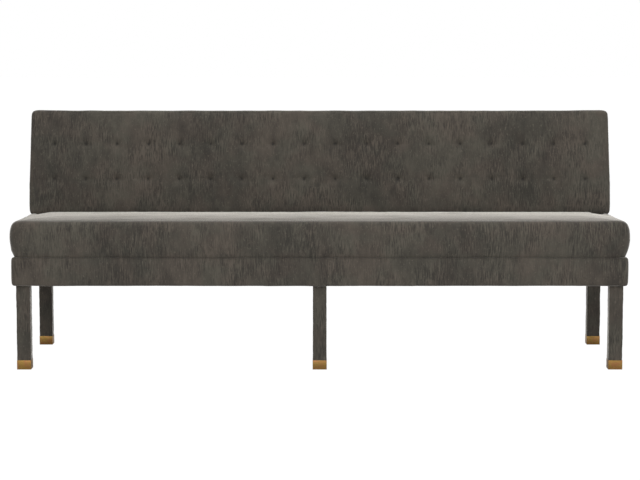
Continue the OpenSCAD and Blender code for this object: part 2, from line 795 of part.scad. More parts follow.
// Rear rim: at the outside back, but under the back only as far as the posts
function under(i, j) = j == 0 && i > 0 && i < nc - 1;
function rim_ring(dx, dz) = [for (e = edge_ij) let (p = spread(e[0], e[1], dx, dz))
    [p[0], under(e[0], e[1]) ? post_front - gap : rear_y(p[1]) + stiffener_t, p[1]]];

module back_cover() {
    grid = [for (j = [0:nr - 1]) for (i = [0:nc - 1]) face_point(i, j, 0)];
    inner = [for (j = [0:nr - 1]) for (i = [0:nc - 1]) face_point(i, j, cover_t)];
    rings = [
        side_ring(back_edge_r * 0.72, full_dz * 0.72, back_edge_r * 0.3),
        side_ring(back_edge_r, full_dz, back_edge_r * 1.1),
        rim_ring(back_edge_r * 0.8, full_dz * 0.9),
        rim_ring(back_edge_r * 0.8 - cover_t, full_dz * 0.9 - cover_t),
        side_ring(back_edge_r * 0.9 - cover_t, full_dz * 0.9 - cover_t, back_edge_r * 0.9)
    ];
    points = concat(grid, [for (r = rings) each r], inner);
    ng = nc * nr;
    function g(i, j) = j * nc + i;
    function edge(k) = g(edge_ij[k % ne][0], edge_ij[k % ne][1]);
    o = ng + len(rings) * ne;
    function at(b, k) = b == 0 ? edge(k) : b <= len(rings) ? ng + (b - 1) * ne + k % ne : o + edge(k);
    color(fabric) polyhedron(points, concat(
        [for (j = [0:nr - 2]) for (i = [0:nc - 2]) [g(i, j), g(i, j + 1), g(i + 1, j + 1)]],
        [for (j = [0:nr - 2]) for (i = [0:nc - 2]) [g(i, j), g(i + 1, j + 1), g(i + 1, j)]],
        [for (b = [0:len(rings)]) for (k = [0:ne - 1]) [at(b, k), at(b, k + 1), at(b + 1, k + 1)]],
        [for (b = [0:len(rings)]) for (k = [0:ne - 1]) [at(b, k), at(b + 1, k + 1), at(b + 1, k)]],
        [for (j = [0:nr - 2]) for (i = [0:nc - 2]) [o + g(i, j), o + g(i + 1, j), o + g(i + 1, j + 1)]],
        [for (j = [0:nr - 2]) for (i = [0:nc - 2]) [o + g(i, j), o + g(i + 1, j + 1), o + g(i, j + 1)]]
    ));
}

// Fibre between the cover and the foam: dimpled in front, flat behind
module back_fibre_wrap() {
    front = [for (j = [0:nr - 1]) for (i = [0:nc - 1]) face_point(i, j, cover_t + gap)];
    thick = back_fibre_t / cos(back_rake);
    rim = side_ring(0, 0, thick);
    ng = nc * nr;
    mid = [0, face_y(back_mid) + thick, back_mid];
    function g(i, j) = j * nc + i;
    function edge(k) = g(edge_ij[k % ne][0], edge_ij[k % ne][1]);
    color(fibre) polyhedron(concat(front, rim, [mid]), concat(
        [for (j = [0:nr - 2]) for (i = [0:nc - 2]) [g(i, j), g(i, j + 1), g(i + 1, j + 1)]],
        [for (j = [0:nr - 2]) for (i = [0:nc - 2]) [g(i, j), g(i + 1, j + 1), g(i + 1, j)]],
        [for (k = [0:ne - 1]) [edge(k), edge(k + 1), ng + (k + 1) % ne]],
        [for (k = [0:ne - 1]) [edge(k), ng + (k + 1) % ne, ng + k]],
        [for (k = [0:ne - 1]) [ng + ne, ng + k, ng + (k + 1) % ne]]
    ));
}

// Stitch of each tuft, across its dimple
module tuft_stitches() {
    rise = tuft_depth * stitch_l / tuft_pitch;
    ahead = tuft_depth - back_swell - rise - twine_d / 2 - gap;
    color(thread) for (x = tuft_x) for (z = tuft_z)
        rod_x(twine_d, [x - stitch_l / 2, face_y(z) + ahead, z], stitch_l);
}

module back_end_pads() {
    x0 = back_frame_half + gap;
    x1 = back_half - cover_t - back_edge_r * 0.4;
    color(fibre) for (x = [-x1, x0]) along_x(x, x + x1 - x0) {
        slanted(deck_top + gap, back_z - gap);
        slanted(inside_z + back_edge_r * 0.6, frame_top - corner_in / 2);
    }
}

module back_top_pad() {
    z1 = overall_h - cover_t - full_dz * 0.3;
    color(fibre) along_x(-back_frame_half, back_frame_half)
        polygon([
            [board_y(frame_top), frame_top + gap], [rear_y(frame_top), frame_top + gap],
            [rear_y(z1), z1], [board_y(z1), z1]
        ]);
}

// Strip of the outside back that follows the rear of the frame
module rear_sheet(half, from, t, heights) {
    along_x(-half, half) polygon(concat(
        [for (z = heights) [rear_y(z) + from + t, z]],
        [for (z = reversed(heights)) [rear_y(z) + from, z]]
    ));
}

// As wide as the base below the seam and as the back above it
module outside_back(base_half, half, from, t, z0, z1) {
    rear_sheet(base_half, from, t, [z0, rail_top, seam_z]);
    rear_sheet(half, from, t, [seam_z, z1]);
}

module outside_back_board() {
    color(card) outside_back(frame_half, back_frame_half, gap, stiffener_t, rail_z, frame_top);
}

module outside_back_cover() {
    from = 2 * gap + stiffener_t;
    half = back_half - 2 * cover_t - gap;
    color(fabric) outside_back(apron_half - cover_t, half, from, cover_t, apron_z + gap, outside_top);
}

// Cloth that closes the foot of the back behind and beside the seat
module heel_cover() {
    x = back_half - back_edge_r * 0.2;
    y0 = seat_rear + gap;
    y1 = frame_rear + stiffener_t;
    color(fabric) translate([0, 0, seam_z + gap]) linear_extrude(back_z - seam_z - 2 * gap)
        polygon([
            [-x, y1], [-x, y0], [x, y0], [x, y1], [x - cover_t, y1],
            [x - cover_t, y0 + cover_t], [-x + cover_t, y0 + cover_t], [-x + cover_t, y1]
        ]);
}

for (i = [0:len(leg_names) - 1]) {
    leg_post(i);
    leg_cover(i);
    ferrule(i);
}
glides();
seat_rail_front();
seat_rail_rear();
seat_rail_side(-1);  // seat_rail_left
seat_rail_side(1);  // seat_rail_right
for (i = [0:len(cross_names) - 1])
    cross_rail(cross_x[i]);
frame_dowels();
corner_blocks();
corner_block_screws();
seat_webbing_crosswise();
seat_webbing_lengthwise();
seat_deck_cloth();
seat_foam_core();
seat_fibre_wrap();
seat_cover();
apron_padding();
apron_cover();
dust_cover();
for (i = [0:len(post_names) - 1])
    back_post(post_x[i]);
back_end_board(-1);  // back_end_board_left
back_end_board(1);  // back_end_board_right
back_top_rail();
back_bottom_rails();
back_post_bolts();
back_post_nuts();
back_board();
back_foam_core();
back_fibre_wrap();
back_cover();
back_end_pads();
back_top_pad();
outside_back_board();
outside_back_cover();
heel_cover();
tuft_stitches();
tuft_twines();
tuft_toggles();
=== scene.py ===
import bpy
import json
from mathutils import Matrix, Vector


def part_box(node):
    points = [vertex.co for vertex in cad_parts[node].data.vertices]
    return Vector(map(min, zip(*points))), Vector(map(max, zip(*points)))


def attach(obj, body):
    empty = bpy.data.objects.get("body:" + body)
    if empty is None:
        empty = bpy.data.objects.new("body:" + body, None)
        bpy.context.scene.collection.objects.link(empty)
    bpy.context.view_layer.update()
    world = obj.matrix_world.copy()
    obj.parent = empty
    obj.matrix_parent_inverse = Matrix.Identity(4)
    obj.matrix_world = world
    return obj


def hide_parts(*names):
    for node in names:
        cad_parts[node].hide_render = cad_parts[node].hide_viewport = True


bl_info = {
    "name": "Banquette Bench",
    "version": (1, 0, 0),
    "blender": (4, 5, 0),
    "location": "3D View > Sidebar > Bench",
    "description": "Upholstered banquette bench with a tufted back, on its packed frame",
    "category": "Object",
}

import json
import math

import bmesh
import bpy
import numpy as np
from bpy.props import FloatProperty, FloatVectorProperty, PointerProperty
from mathutils import Matrix, Vector, noise
from mathutils.bvhtree import BVHTree

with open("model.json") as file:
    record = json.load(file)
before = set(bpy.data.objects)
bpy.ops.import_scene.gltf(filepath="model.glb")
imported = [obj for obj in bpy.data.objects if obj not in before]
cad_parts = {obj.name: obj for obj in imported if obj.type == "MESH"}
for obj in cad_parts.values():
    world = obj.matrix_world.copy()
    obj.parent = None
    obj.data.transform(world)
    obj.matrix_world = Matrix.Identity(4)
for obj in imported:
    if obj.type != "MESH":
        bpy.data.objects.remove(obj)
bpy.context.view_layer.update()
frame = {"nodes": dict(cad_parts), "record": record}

MM = 0.001
LEGS = ["front_left", "front_centre", "front_right", "rear_left", "rear_centre", "rear_right"]

# Heights and planes that the covers share, in millimetres
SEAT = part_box("seat_cover")
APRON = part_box("apron_cover")
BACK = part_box("back_cover")
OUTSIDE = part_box("outside_back_cover")
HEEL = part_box("heel_cover")
SEAT_HALF, SEAT_FRONT, SEAT_REAR = SEAT[1].x / MM, SEAT[0].y / MM, SEAT[1].y / MM
SEAM_Z = APRON[1].z / MM
BACK_HALF, BACK_Z, TOP_Z = BACK[1].x / MM, BACK[0].z / MM, BACK[1].z / MM
RAKE = math.tan(math.radians(11.5))
BACK_FOOT = SEAT_FRONT + 485
# The back's front edge is rounded over this much across and up
EDGE_DX, EDGE_DZ = 14, 11.2
TUFT_PITCH, MIDDLE_TUFT = 115.2, 8.5
TUFT_Z = (BACK_Z + 133, BACK_Z + 261)
TUFT_X = [(k - MIDDLE_TUFT) * TUFT_PITCH for k in range(18)]
CLOTH_THICK = 0.002


def srgb(code):
    """Linear colour of a hex value."""
    parts = [int(code[i:i + 2], 16) / 255 for i in (1, 3, 5)]
    return (*[c / 12.92 if c <= 0.04045 else ((c + 0.055) / 1.055) ** 2.4 for c in parts], 1)


def colour(text, code):
    return FloatVectorProperty(
        name=text, description=text + " as it looks in even light", subtype="COLOR", size=4,
        min=0, max=1, default=srgb(code))


def length(text, about, value, low, high):
    return FloatProperty(
        name=text, description=about, default=value * MM, min=low * MM, max=high * MM,
        unit="LENGTH", subtype="DISTANCE", precision=4)


class BenchSizes(bpy.types.PropertyGroup):
    tuft_depth: length("Tuft depth", "Depth of a tuft below the swell of the back", 9, 4, 12)
    back_swell: length("Back swell", "Forward swell of the back between its edges", 5, 0, 9)
    crown: length("Seat crown", "Rise of the seat above its edges", 10, 4, 18)
    seat_swell: length("Seat swell", "Most that stuffing may push the seat's cover out", 4, 0, 8)
    back_puff: length("Back puff", "Most that stuffing may push the back's cover out", 1.8, 0, 8)
    ripple: length("Ripple", "Height of the soft unevenness in the covers", 1.2, 0, 3)


class BenchColours(bpy.types.PropertyGroup):
    nap_dark: colour("Velvet, nap brushed dark", "#312e2a")
    nap_light: colour("Velvet, nap brushed light", "#4f4a43")
    brass: colour("Brass", "#8c6f3d")
    floor: colour("Floor", "#f4f4f4")


def sizes():
    return bpy.context.scene.bench_sizes


def colours():
    return bpy.context.scene.bench_colours


# Mesh helpers


def deselect():
    if bpy.context.mode != "OBJECT":
        bpy.ops.object.mode_set(mode="OBJECT")
    bpy.ops.object.select_all(action="DESELECT")


def only(piece):
    deselect()
    piece.select_set(True)
    bpy.context.view_layer.objects.active = piece


def named(name):
    piece = bpy.context.object
    piece.name = piece.data.name = name
    return piece


def pick(piece, kind, test):
    """Selects the edges or faces that pass the test, in edit mode, and no others."""
    bpy.ops.mesh.select_mode(type=kind)
    bpy.ops.mesh.select_all(action="DESELECT")
    mesh = bmesh.from_edit_mesh(piece.data)
    for item in {"EDGE": mesh.edges, "FACE": mesh.faces}[kind]:
        if test(item):
            item.select_set(True)
    bmesh.update_edit_mesh(piece.data)


def points(piece):
    """Corners of the piece's mesh, in millimetres."""
    flat = np.empty(len(piece.data.vertices) * 3)
    piece.data.vertices.foreach_get("co", flat)
    return flat.reshape(-1, 3) / MM


def place(piece, where):
    piece.data.vertices.foreach_set("co", (np.asarray(where) * MM).ravel())
    piece.data.update()


def face_outwards():
    """Turns all faces of the piece in edit mode the same way."""
    bpy.ops.mesh.select_all(action="SELECT")
    bpy.ops.mesh.normals_make_consistent(inside=False)


def copy_of(master, name):
    """Copy with a mesh of its own, in the scene."""
    copy = master.copy()
    copy.data = master.data.copy()
    bpy.context.scene.collection.objects.link(copy)
    copy.name = copy.data.name = name
    return copy


def rise_of(edge):
    """Height between an edge's ends."""
    return abs(edge.verts[0].co.z - edge.verts[1].co.z)


def finish_with(piece, kind, **settings):
    """Adds a modifier with these settings and applies it."""
    only(piece)
    modifier = piece.modifiers.new(kind.title(), kind)
    for key, value in settings.items():
        setattr(modifier, key, value)
    bpy.ops.object.modifier_apply(modifier=modifier.name)


def smooth(piece):
    finish_with(piece, "SUBSURF", levels=1, render_levels=1)


def thicken(piece, thickness=CLOTH_THICK):
    """Gives a cover its cloth's thickness, inwards."""
    finish_with(piece, "SOLIDIFY", thickness=thickness, offset=-1)


def grid_sheet(name, nx, ny):
    """Flat square of nx by ny cells, one unit across."""
    deselect()
    bpy.ops.mesh.primitive_grid_add(x_subdivisions=nx, y_subdivisions=ny, size=1, location=(0, 0, 0))
    return named(name)


def quad_block(name, nx, ny, nz, bottom=True):
    """Block of nx by ny by nz cells, one unit across and one high, with or without its bottom."""
    piece = grid_sheet(name, nx, ny)
    bpy.ops.object.mode_set(mode="EDIT")
    bpy.ops.mesh.select_all(action="SELECT")
    bpy.ops.mesh.extrude_region_move(TRANSFORM_OT_translate={"value": (0, 0, 1)})
    pick(piece, "EDGE", lambda e: rise_of(e) > 0.5)
    bpy.ops.mesh.subdivide(number_cuts=nz - 1)
    face_outwards()
    if not bottom:
        pick(piece, "FACE", lambda f: all(v.co.z < 0.001 for v in f.verts))
        bpy.ops.mesh.delete(type="FACE")
    bpy.ops.object.mode_set(mode="OBJECT")
    return piece


def cell(piece, nx, ny, nz):
    """Whole-number place of each corner of a quad block or grid, across, along and up."""
    p = points(piece) * MM
    return (np.rint((p[:, 0] + 0.5) * nx).astype(int), np.rint((p[:, 1] + 0.5) * ny).astype(int),
            np.rint(p[:, 2] * nz).astype(int))


def even_path(through, count):
    """Evenly spaced points of a smooth line through the given ones."""
    p = np.array(through, float)
    a = np.vstack([2 * p[0] - p[1], p, 2 * p[-1] - p[-2]])
    t = np.linspace(0, 1, 12, endpoint=False)[:, None]
    fine = [
        a[i + 1] + t / 2 * (a[i + 2] - a[i]
                            + t * (2 * a[i] - 5 * a[i + 1] + 4 * a[i + 2] - a[i + 3]
                                   + t * (3 * a[i + 1] - a[i] - 3 * a[i + 2] + a[i + 3])))
        for i in range(len(p) - 1)]
    fine = np.vstack(fine + [p[-1:]])
    run = np.concatenate([[0], np.cumsum(np.linalg.norm(np.diff(fine, axis=0), axis=1))])
    even = np.linspace(0, run[-1], count)
    return np.column_stack([np.interp(even, run, fine[:, k]) for k in range(p.shape[1])])


def ripple(where, size, seed=0):
    """Smooth noise between about -1 and 1 at each point, with humps as wide as size."""
    shift = Vector((seed * 7.3, seed * 3.1, seed * 1.7))
    return np.array([noise.noise(Vector(p) / size + shift) for p in where]) * 1.8


def step(low, high, x):
    t = np.clip((x - low) / (high - low), 0, 1)
    return t * t * (3 - 2 * t)


def bulge(inside, reach):
    """Rise from 0 at an edge to 1 at this reach inside it, steepest at the edge."""
    return 1 - (1 - np.clip(inside / reach, 0, 1)) ** 2


def round_corners(x, y, half_x, half_y, r):
    """Turns the corner squares of a rectangle about the origin into quarter discs."""
    ax, ay = np.abs(x), np.abs(y)
    q, s = (ax - half_x) / r + 1, (ay - half_y) / r + 1
    inside = (q > 0) & (s > 0)
    q, s = np.where(inside, q, 1), np.where(inside, s, 1)
    k = np.maximum(q, s) / np.hypot(q, s)
    nx = np.where(inside, half_x - r + q * k * r, ax)
    ny = np.where(inside, half_y - r + s * k * r, ay)
    return np.sign(x) * nx, np.sign(y) * ny


def keep_clear(piece, node, gap, which):
    """Moves the chosen corners out to at least a gap over the faces of a node that lies under them."""
    mesh = frame["nodes"][node].data
    tree = BVHTree.FromPolygons([v.co[:] for v in mesh.vertices], [f.vertices[:] for f in mesh.polygons])
    p = points(piece)
    for n in np.flatnonzero(which(p)):
        near, normal, _, _ = tree.find_nearest(Vector(p[n]) * MM)
        if (Vector(p[n]) * MM - near).dot(normal) < gap * MM:
            p[n] = np.array(near + normal * gap * MM) / MM
    place(piece, p)


def inflate(piece, held, pressure, cap):
    """Swells a padded piece between its held corners, by simulation, outwards and by cap at most."""
    only(piece)
    before = points(piece)
    piece.vertex_groups.new(name="held").add(np.flatnonzero(held).tolist(), 1.0, "REPLACE")
    solver = piece.modifiers.new("Cloth", "CLOTH")
    for key, value in {
            "quality": 5, "mass": 0.4, "tension_stiffness": 30, "compression_stiffness": 20,
            "shear_stiffness": 12, "bending_stiffness": 0.6, "vertex_group_mass": "held",
            "pin_stiffness": 1, "use_pressure": True, "uniform_pressure_force": pressure,
            "shrink_min": -0.015}.items():
        setattr(solver.settings, key, value)
    solver.settings.effector_weights.gravity = 0
    solver.collision_settings.use_collision = False
    last = 20
    solver.point_cache.frame_start, solver.point_cache.frame_end = 1, last
    for number in range(1, last + 1):
        bpy.context.scene.frame_set(number)
    swollen = piece.evaluated_get(bpy.context.evaluated_depsgraph_get())
    flat = np.empty(len(before) * 3)
    swollen.data.vertices.foreach_get("co", flat)
    move = flat.reshape(-1, 3) / MM - before
    piece.data.vertices.foreach_get("normal", flat)
    normal = flat.reshape(-1, 3).copy()
    piece.modifiers.remove(solver)
    piece.vertex_groups.clear()
    bpy.context.scene.frame_set(1)
    if not np.isfinite(move).all():
        raise RuntimeError(f"the stuffing of {piece.name} ran away")
    dent = -0.3
    out = np.clip((move * normal).sum(axis=1), dent, cap)
    place(piece, before + normal * out[:, None])


def ready(piece, material, slot, *nodes, angle=None):
    """Shading, material and body of a piece that stands for the named nodes, which are hidden; the slot is
    not used.
    """
    only(piece)
    if angle is None:
        bpy.ops.object.shade_smooth()
    else:
        bpy.ops.object.shade_smooth_by_angle(angle=math.radians(angle))
    piece.data.materials.clear()
    piece.data.materials.append(material)
    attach(piece, "root")
    if nodes:
        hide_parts(*nodes)
    deselect()
    return piece


# Materials


def add(tree, kind, inputs=None, out=0, **settings):
    """Adds a node with its settings, values and links, and gives one of its outputs, if any."""
    node = tree.nodes.new(kind)
    for key, value in settings.items():
        setattr(node, key, value)
    for key, value in (inputs or {}).items():
        if isinstance(value, bpy.types.NodeSocket):
            tree.links.new(value, node.inputs[key])
        else:
            node.inputs[key].default_value = value
    return node.outputs[out] if node.outputs else None


def maths(tree, operation, *values, **settings):
    return add(tree, "ShaderNodeMath", dict(enumerate(values)), operation=operation, **settings)


def ranged(tree, value, low, high, to_low=0, to_high=1, **settings):
    """A value between low and high, moved to another range and held inside it."""
    return add(tree, "ShaderNodeMapRange", {0: value, 1: low, 2: high, 3: to_low, 4: to_high}, **settings)


def axis(tree, vector, name):
    return add(tree, "ShaderNodeSeparateXYZ", {0: vector}, out=name)


def mottle(tree, where, scale, detail, rough=0.5):
    """Noise with humps of about 1 / scale metres."""
    return add(tree, "ShaderNodeTexNoise", {
        "Vector": where, "Scale": scale, "Detail": detail, "Roughness": rough})


def drawn(tree, where, scales, detail, rough=0.5):
    """Noise with humps of about 1 / scale metres along each axis."""
    where = add(tree, "ShaderNodeMapping", {"Vector": where, "Scale": scales})
    return mottle(tree, where, 1, detail, rough)


def mix(tree, share, first, second, **settings):
    """Colour between the first and the second."""
    return add(tree, "ShaderNodeMix", {0: share, 6: first, 7: second}, out=2, data_type="RGBA", **settings)


def bumps(tree, height, strength, depth):
    """Normal for a relief whose full height is depth metres."""
    return add(tree, "ShaderNodeBump", {"Strength": strength, "Distance": depth, "Height": height})


def fresh(name):
    """New empty material and its node tree, or None for the tree if the material is there already."""
    if name in bpy.data.materials:
        return bpy.data.materials[name], None
    material = bpy.data.materials.new(name)
    material.use_nodes = True
    material.node_tree.nodes.clear()
    return material, material.node_tree


def surface(tree, inputs):
    shader = add(tree, "ShaderNodeBsdfPrincipled", inputs)
    add(tree, "ShaderNodeOutputMaterial", {"Surface": shader})


def velvet():
    # Chenille velvet, woven cut pile brushed downwards: matt, mottled where the nap lies the other
    # way, with short streaks along the nap in clusters, pale where light skims the pile's tips, with
    # a painted sheen on the seat's top and painted shade in the tufts' hollows
    material, tree = fresh("Brushed chenille velvet")
    if tree is None:
        return material
    here = add(tree, "ShaderNodeTexCoord", out="Object")
    normal = add(tree, "ShaderNodeNewGeometry", out="Normal")
    on_end = ranged(tree, maths(tree, "ABSOLUTE", axis(tree, normal, "X")), 0.6, 0.8)
    # Streaks about 3 mm wide and 28 mm long; the real ones are finer than the render shows
    on_front, on_side = (drawn(tree, here, scales, 3, 0.6) for scales in ((370, 36, 36), (36, 370, 36)))
    streak = add(tree, "ShaderNodeMix", {0: on_end, 2: on_front, 3: on_side})
    streak = ranged(tree, streak, 0.34, 0.66, -0.42, 0.42)
    # Clusters about 110 mm across, and brushed patches 40 mm wide by 80 mm high
    cluster = ranged(tree, mottle(tree, here, 9, 2), 0.38, 0.64, 0.2, 1.55)
    brushed = ranged(tree, drawn(tree, here, (26, 26, 13), 4, 0.6), 0.3, 0.7, -0.28, 0.28)
    # Single pale tufts of yarn, 4 by 10 mm
    speck = ranged(tree, drawn(tree, here, (250, 250, 95), 1), 0.62, 0.74, 0, 0.65)
    nap = maths(tree, "MULTIPLY", streak, cluster)
    nap = maths(tree, "ADD", nap, brushed)
    nap = maths(tree, "ADD", nap, speck)
    # The cloth shades from light to dark and back in bands, the other way round above the seat,
    # and not at all on the legs
    band_pitch, first_band, band_share = 0.574, 0.181, 0.17
    height = axis(tree, here, "Z")
    way = ranged(tree, height, 0.5, 0.56, band_share, -band_share)
    above_legs = ranged(tree, height, 0.285, 0.295)
    across = maths(tree, "ADD", axis(tree, here, "X"), -first_band)
    across = maths(tree, "COSINE", maths(tree, "MULTIPLY", across, 2 * math.pi / band_pitch))
    shading = maths(tree, "MULTIPLY", maths(tree, "MULTIPLY", across, way), above_legs)
    nap = maths(tree, "ADD", maths(tree, "ADD", nap, shading), 0.45, use_clamp=True)
    pile = mix(tree, nap, colours().nap_dark[:], colours().nap_light[:])
    # The yarn's two dyes drift between brown and grey-green over about 90 mm
    dye = mix(tree, ranged(tree, mottle(tree, here, 11, 2), 0.4, 0.6), srgb("#fffaf7"), srgb("#f8fbf7"))
    pile = mix(tree, 1.0, pile, dye, blend_type="MULTIPLY")
    # Painted sheen: where it faces up, the seat's top is painted paler, as light skimming the pile shows
    # it, in cloudy bands 200 mm long, 60 mm deep
    painted_top_sheen = ranged(tree, axis(tree, normal, "Z"), 0.93, 1.0, interpolation_type="SMOOTHSTEP")
    clouds = ranged(tree, drawn(tree, here, (5, 16, 10), 3), 0.34, 0.68, 0.45, 1.0)
    # Where the seat takes the painted sheen, from its open attribute
    sheen_paint_mask = add(tree, "ShaderNodeAttribute", out="Fac", attribute_name="open")
    strands = maths(tree, "MULTIPLY_ADD", nap, 0.55, 0.72)
    for part in (clouds, sheen_paint_mask, strands):
        painted_top_sheen = maths(tree, "MULTIPLY", painted_top_sheen, part)
    pile = mix(tree, painted_top_sheen, pile, srgb("#a6a097"))
    # Each tuft pinches the nap shut
    # Painted shade: each tuft's hollow is painted near black, as the shadow in it
    painted_tuft_shade = add(tree, "ShaderNodeAttribute", out="Fac", attribute_name="painted_tuft_shade")
    pile = mix(tree, maths(tree, "MULTIPLY", painted_tuft_shade, 0.9), pile, srgb("#1b1917"))
    # Pile tips about 1 mm across
    relief = maths(tree, "MULTIPLY_ADD", streak, 0.6, mottle(tree, here, 900, 2))
    surface(tree, {
        "Base Color": pile, "Roughness": 0.85, "Specular IOR Level": 0.25,
        "Normal": bumps(tree, relief, 0.35, 0.0006),
        "Sheen Weight": 1.0, "Sheen Roughness": 0.28, "Sheen Tint": srgb("#f3efe8")})
    return material


def brass():
    # Drawn brass, satin brushed and lacquered: warm metal with fine brush marks and redder clouds
    # of painted reflection
    material, tree = fresh("Satin lacquered brass")
    if tree is None:
        return material
    here = add(tree, "ShaderNodeTexCoord", out="Object")
    # Brush marks 0.5 mm wide round the cup, and painted reflection clouds about 18 mm across
    marks = drawn(tree, here, (60, 60, 1900), 2)
    reflection_paint = ranged(tree, mottle(tree, here, 55, 3), 0.42, 0.66)
    surface(tree, {
        "Base Color": mix(tree, reflection_paint, colours().brass[:], srgb("#8f6541")), "Metallic": 1,
        "Roughness": ranged(tree, marks, 0, 1, 0.28, 0.45), "Normal": bumps(tree, marks, 0.15, 0.0002)})
    return material


def timber(name, light, dark, grain):
    # Planed timber, unfinished: pale, matt, with darker pores drawn out along the grain
    material, tree = fresh(name)
    if tree is None:
        return material
    here = add(tree, "ShaderNodeTexCoord", out="Object")
    pores = drawn(tree, here, grain, 5, 0.65)
    surface(tree, {
        "Base Color": mix(tree, ranged(tree, pores, 0.35, 0.7), srgb(light), srgb(dark)),
        "Roughness": 0.6, "Normal": bumps(tree, pores, 0.2, 0.0003)})
    return material


def cloth(name, light, dark, threads, rough):
    # Plain woven or bonded cloth: matt, with crossing threads or fibres
    material, tree = fresh(name)
    if tree is None:
        return material
    here = add(tree, "ShaderNodeTexCoord", out="Object")
    # Waves 6.3 / threads metres apart, coarser than the real weave
    warp, weft = (add(tree, "ShaderNodeTexWave", {"Vector": here, "Scale": threads / 20}, out="Fac",
                      bands_direction=way) for way in "XY")
    weave = maths(tree, "ADD", maths(tree, "MULTIPLY", warp, weft), mottle(tree, here, threads, 3))
    surface(tree, {
        "Base Color": mix(tree, ranged(tree, weave, 0.3, 1.5), srgb(dark), srgb(light)),
        "Roughness": rough, "Normal": bumps(tree, weave, 0.3, 0.0005)})
    return material


def porous(name, light, dark, cells, rough, depth):
    # Cut foam, wadding or pressed board: matt, with open cells or fibres 0.7 to 2.4 mm wide
    material, tree = fresh(name)
    if tree is None:
        return material
    here = add(tree, "ShaderNodeTexCoord", out="Object")
    holes = add(tree, "ShaderNodeTexVoronoi", {"Vector": here, "Scale": cells}, out="Distance")
    shade = maths(tree, "ADD", holes, mottle(tree, here, 14, 3))
    surface(tree, {
        "Base Color": mix(tree, ranged(tree, shade, 0.4, 1.3), srgb(dark), srgb(light)),
        "Roughness": rough, "Normal": bumps(tree, holes, 0.4, depth)})
    return material


def zinc():
    # Zinc-plated steel: bright grey metal with a faint blue cast and dull patches about 5 mm wide
    material, tree = fresh("Zinc-plated steel")
    if tree is None:
        return material
    patch = mottle(tree, add(tree, "ShaderNodeTexCoord", out="Object"), 220, 3)
    surface(tree, {
        "Base Color": mix(tree, patch, srgb("#b4b9bd"), srgb("#cdd0cf")), "Metallic": 1,
        "Roughness": ranged(tree, patch, 0, 1, 0.25, 0.5)})
    return material


def nylon():
    # Moulded nylon: near black, slightly waxy, with a moulding grain of 0.7 mm
    material, tree = fresh("Moulded nylon")
    if tree is None:
        return material
    grain = mottle(tree, add(tree, "ShaderNodeTexCoord", out="Object"), 1400, 2)
    surface(tree, {
        "Base Color": mix(tree, grain, srgb("#232323"), srgb("#333333")), "Roughness": 0.45,
        "IOR": 1.53, "Normal": bumps(tree, grain, 0.2, 0.0001)})
    return material


def dust_cloth():
    return cloth("Bonded black dust cloth", "#2a2a2a", "#151515", 700, 0.9)


def twine():
    return cloth("Waxed twine", "#3a3732", "#23211e", 1600, 0.7)


# Shapes that more than one piece follows


def face_y(z):
    """Front plane of the back at a height."""
    return BACK_FOOT + (z - BACK_Z) * RAKE


def rear_y(z):
    """Inner face of the outside back's cover at a height."""
    low, high = HEEL[1].y / MM, OUTSIDE[1].y / MM - CLOTH_THICK / MM
    return low + np.clip((z - SEAM_Z) / (OUTSIDE[1].z / MM - SEAM_Z), 0, 1.03) * (high - low)


def seam_wave(x, y):
    """Slight wandering of the seam between seat and apron."""
    return 0.9 * ripple(np.column_stack([x, y, np.zeros(len(x))]), 130, 5)


# Pieces


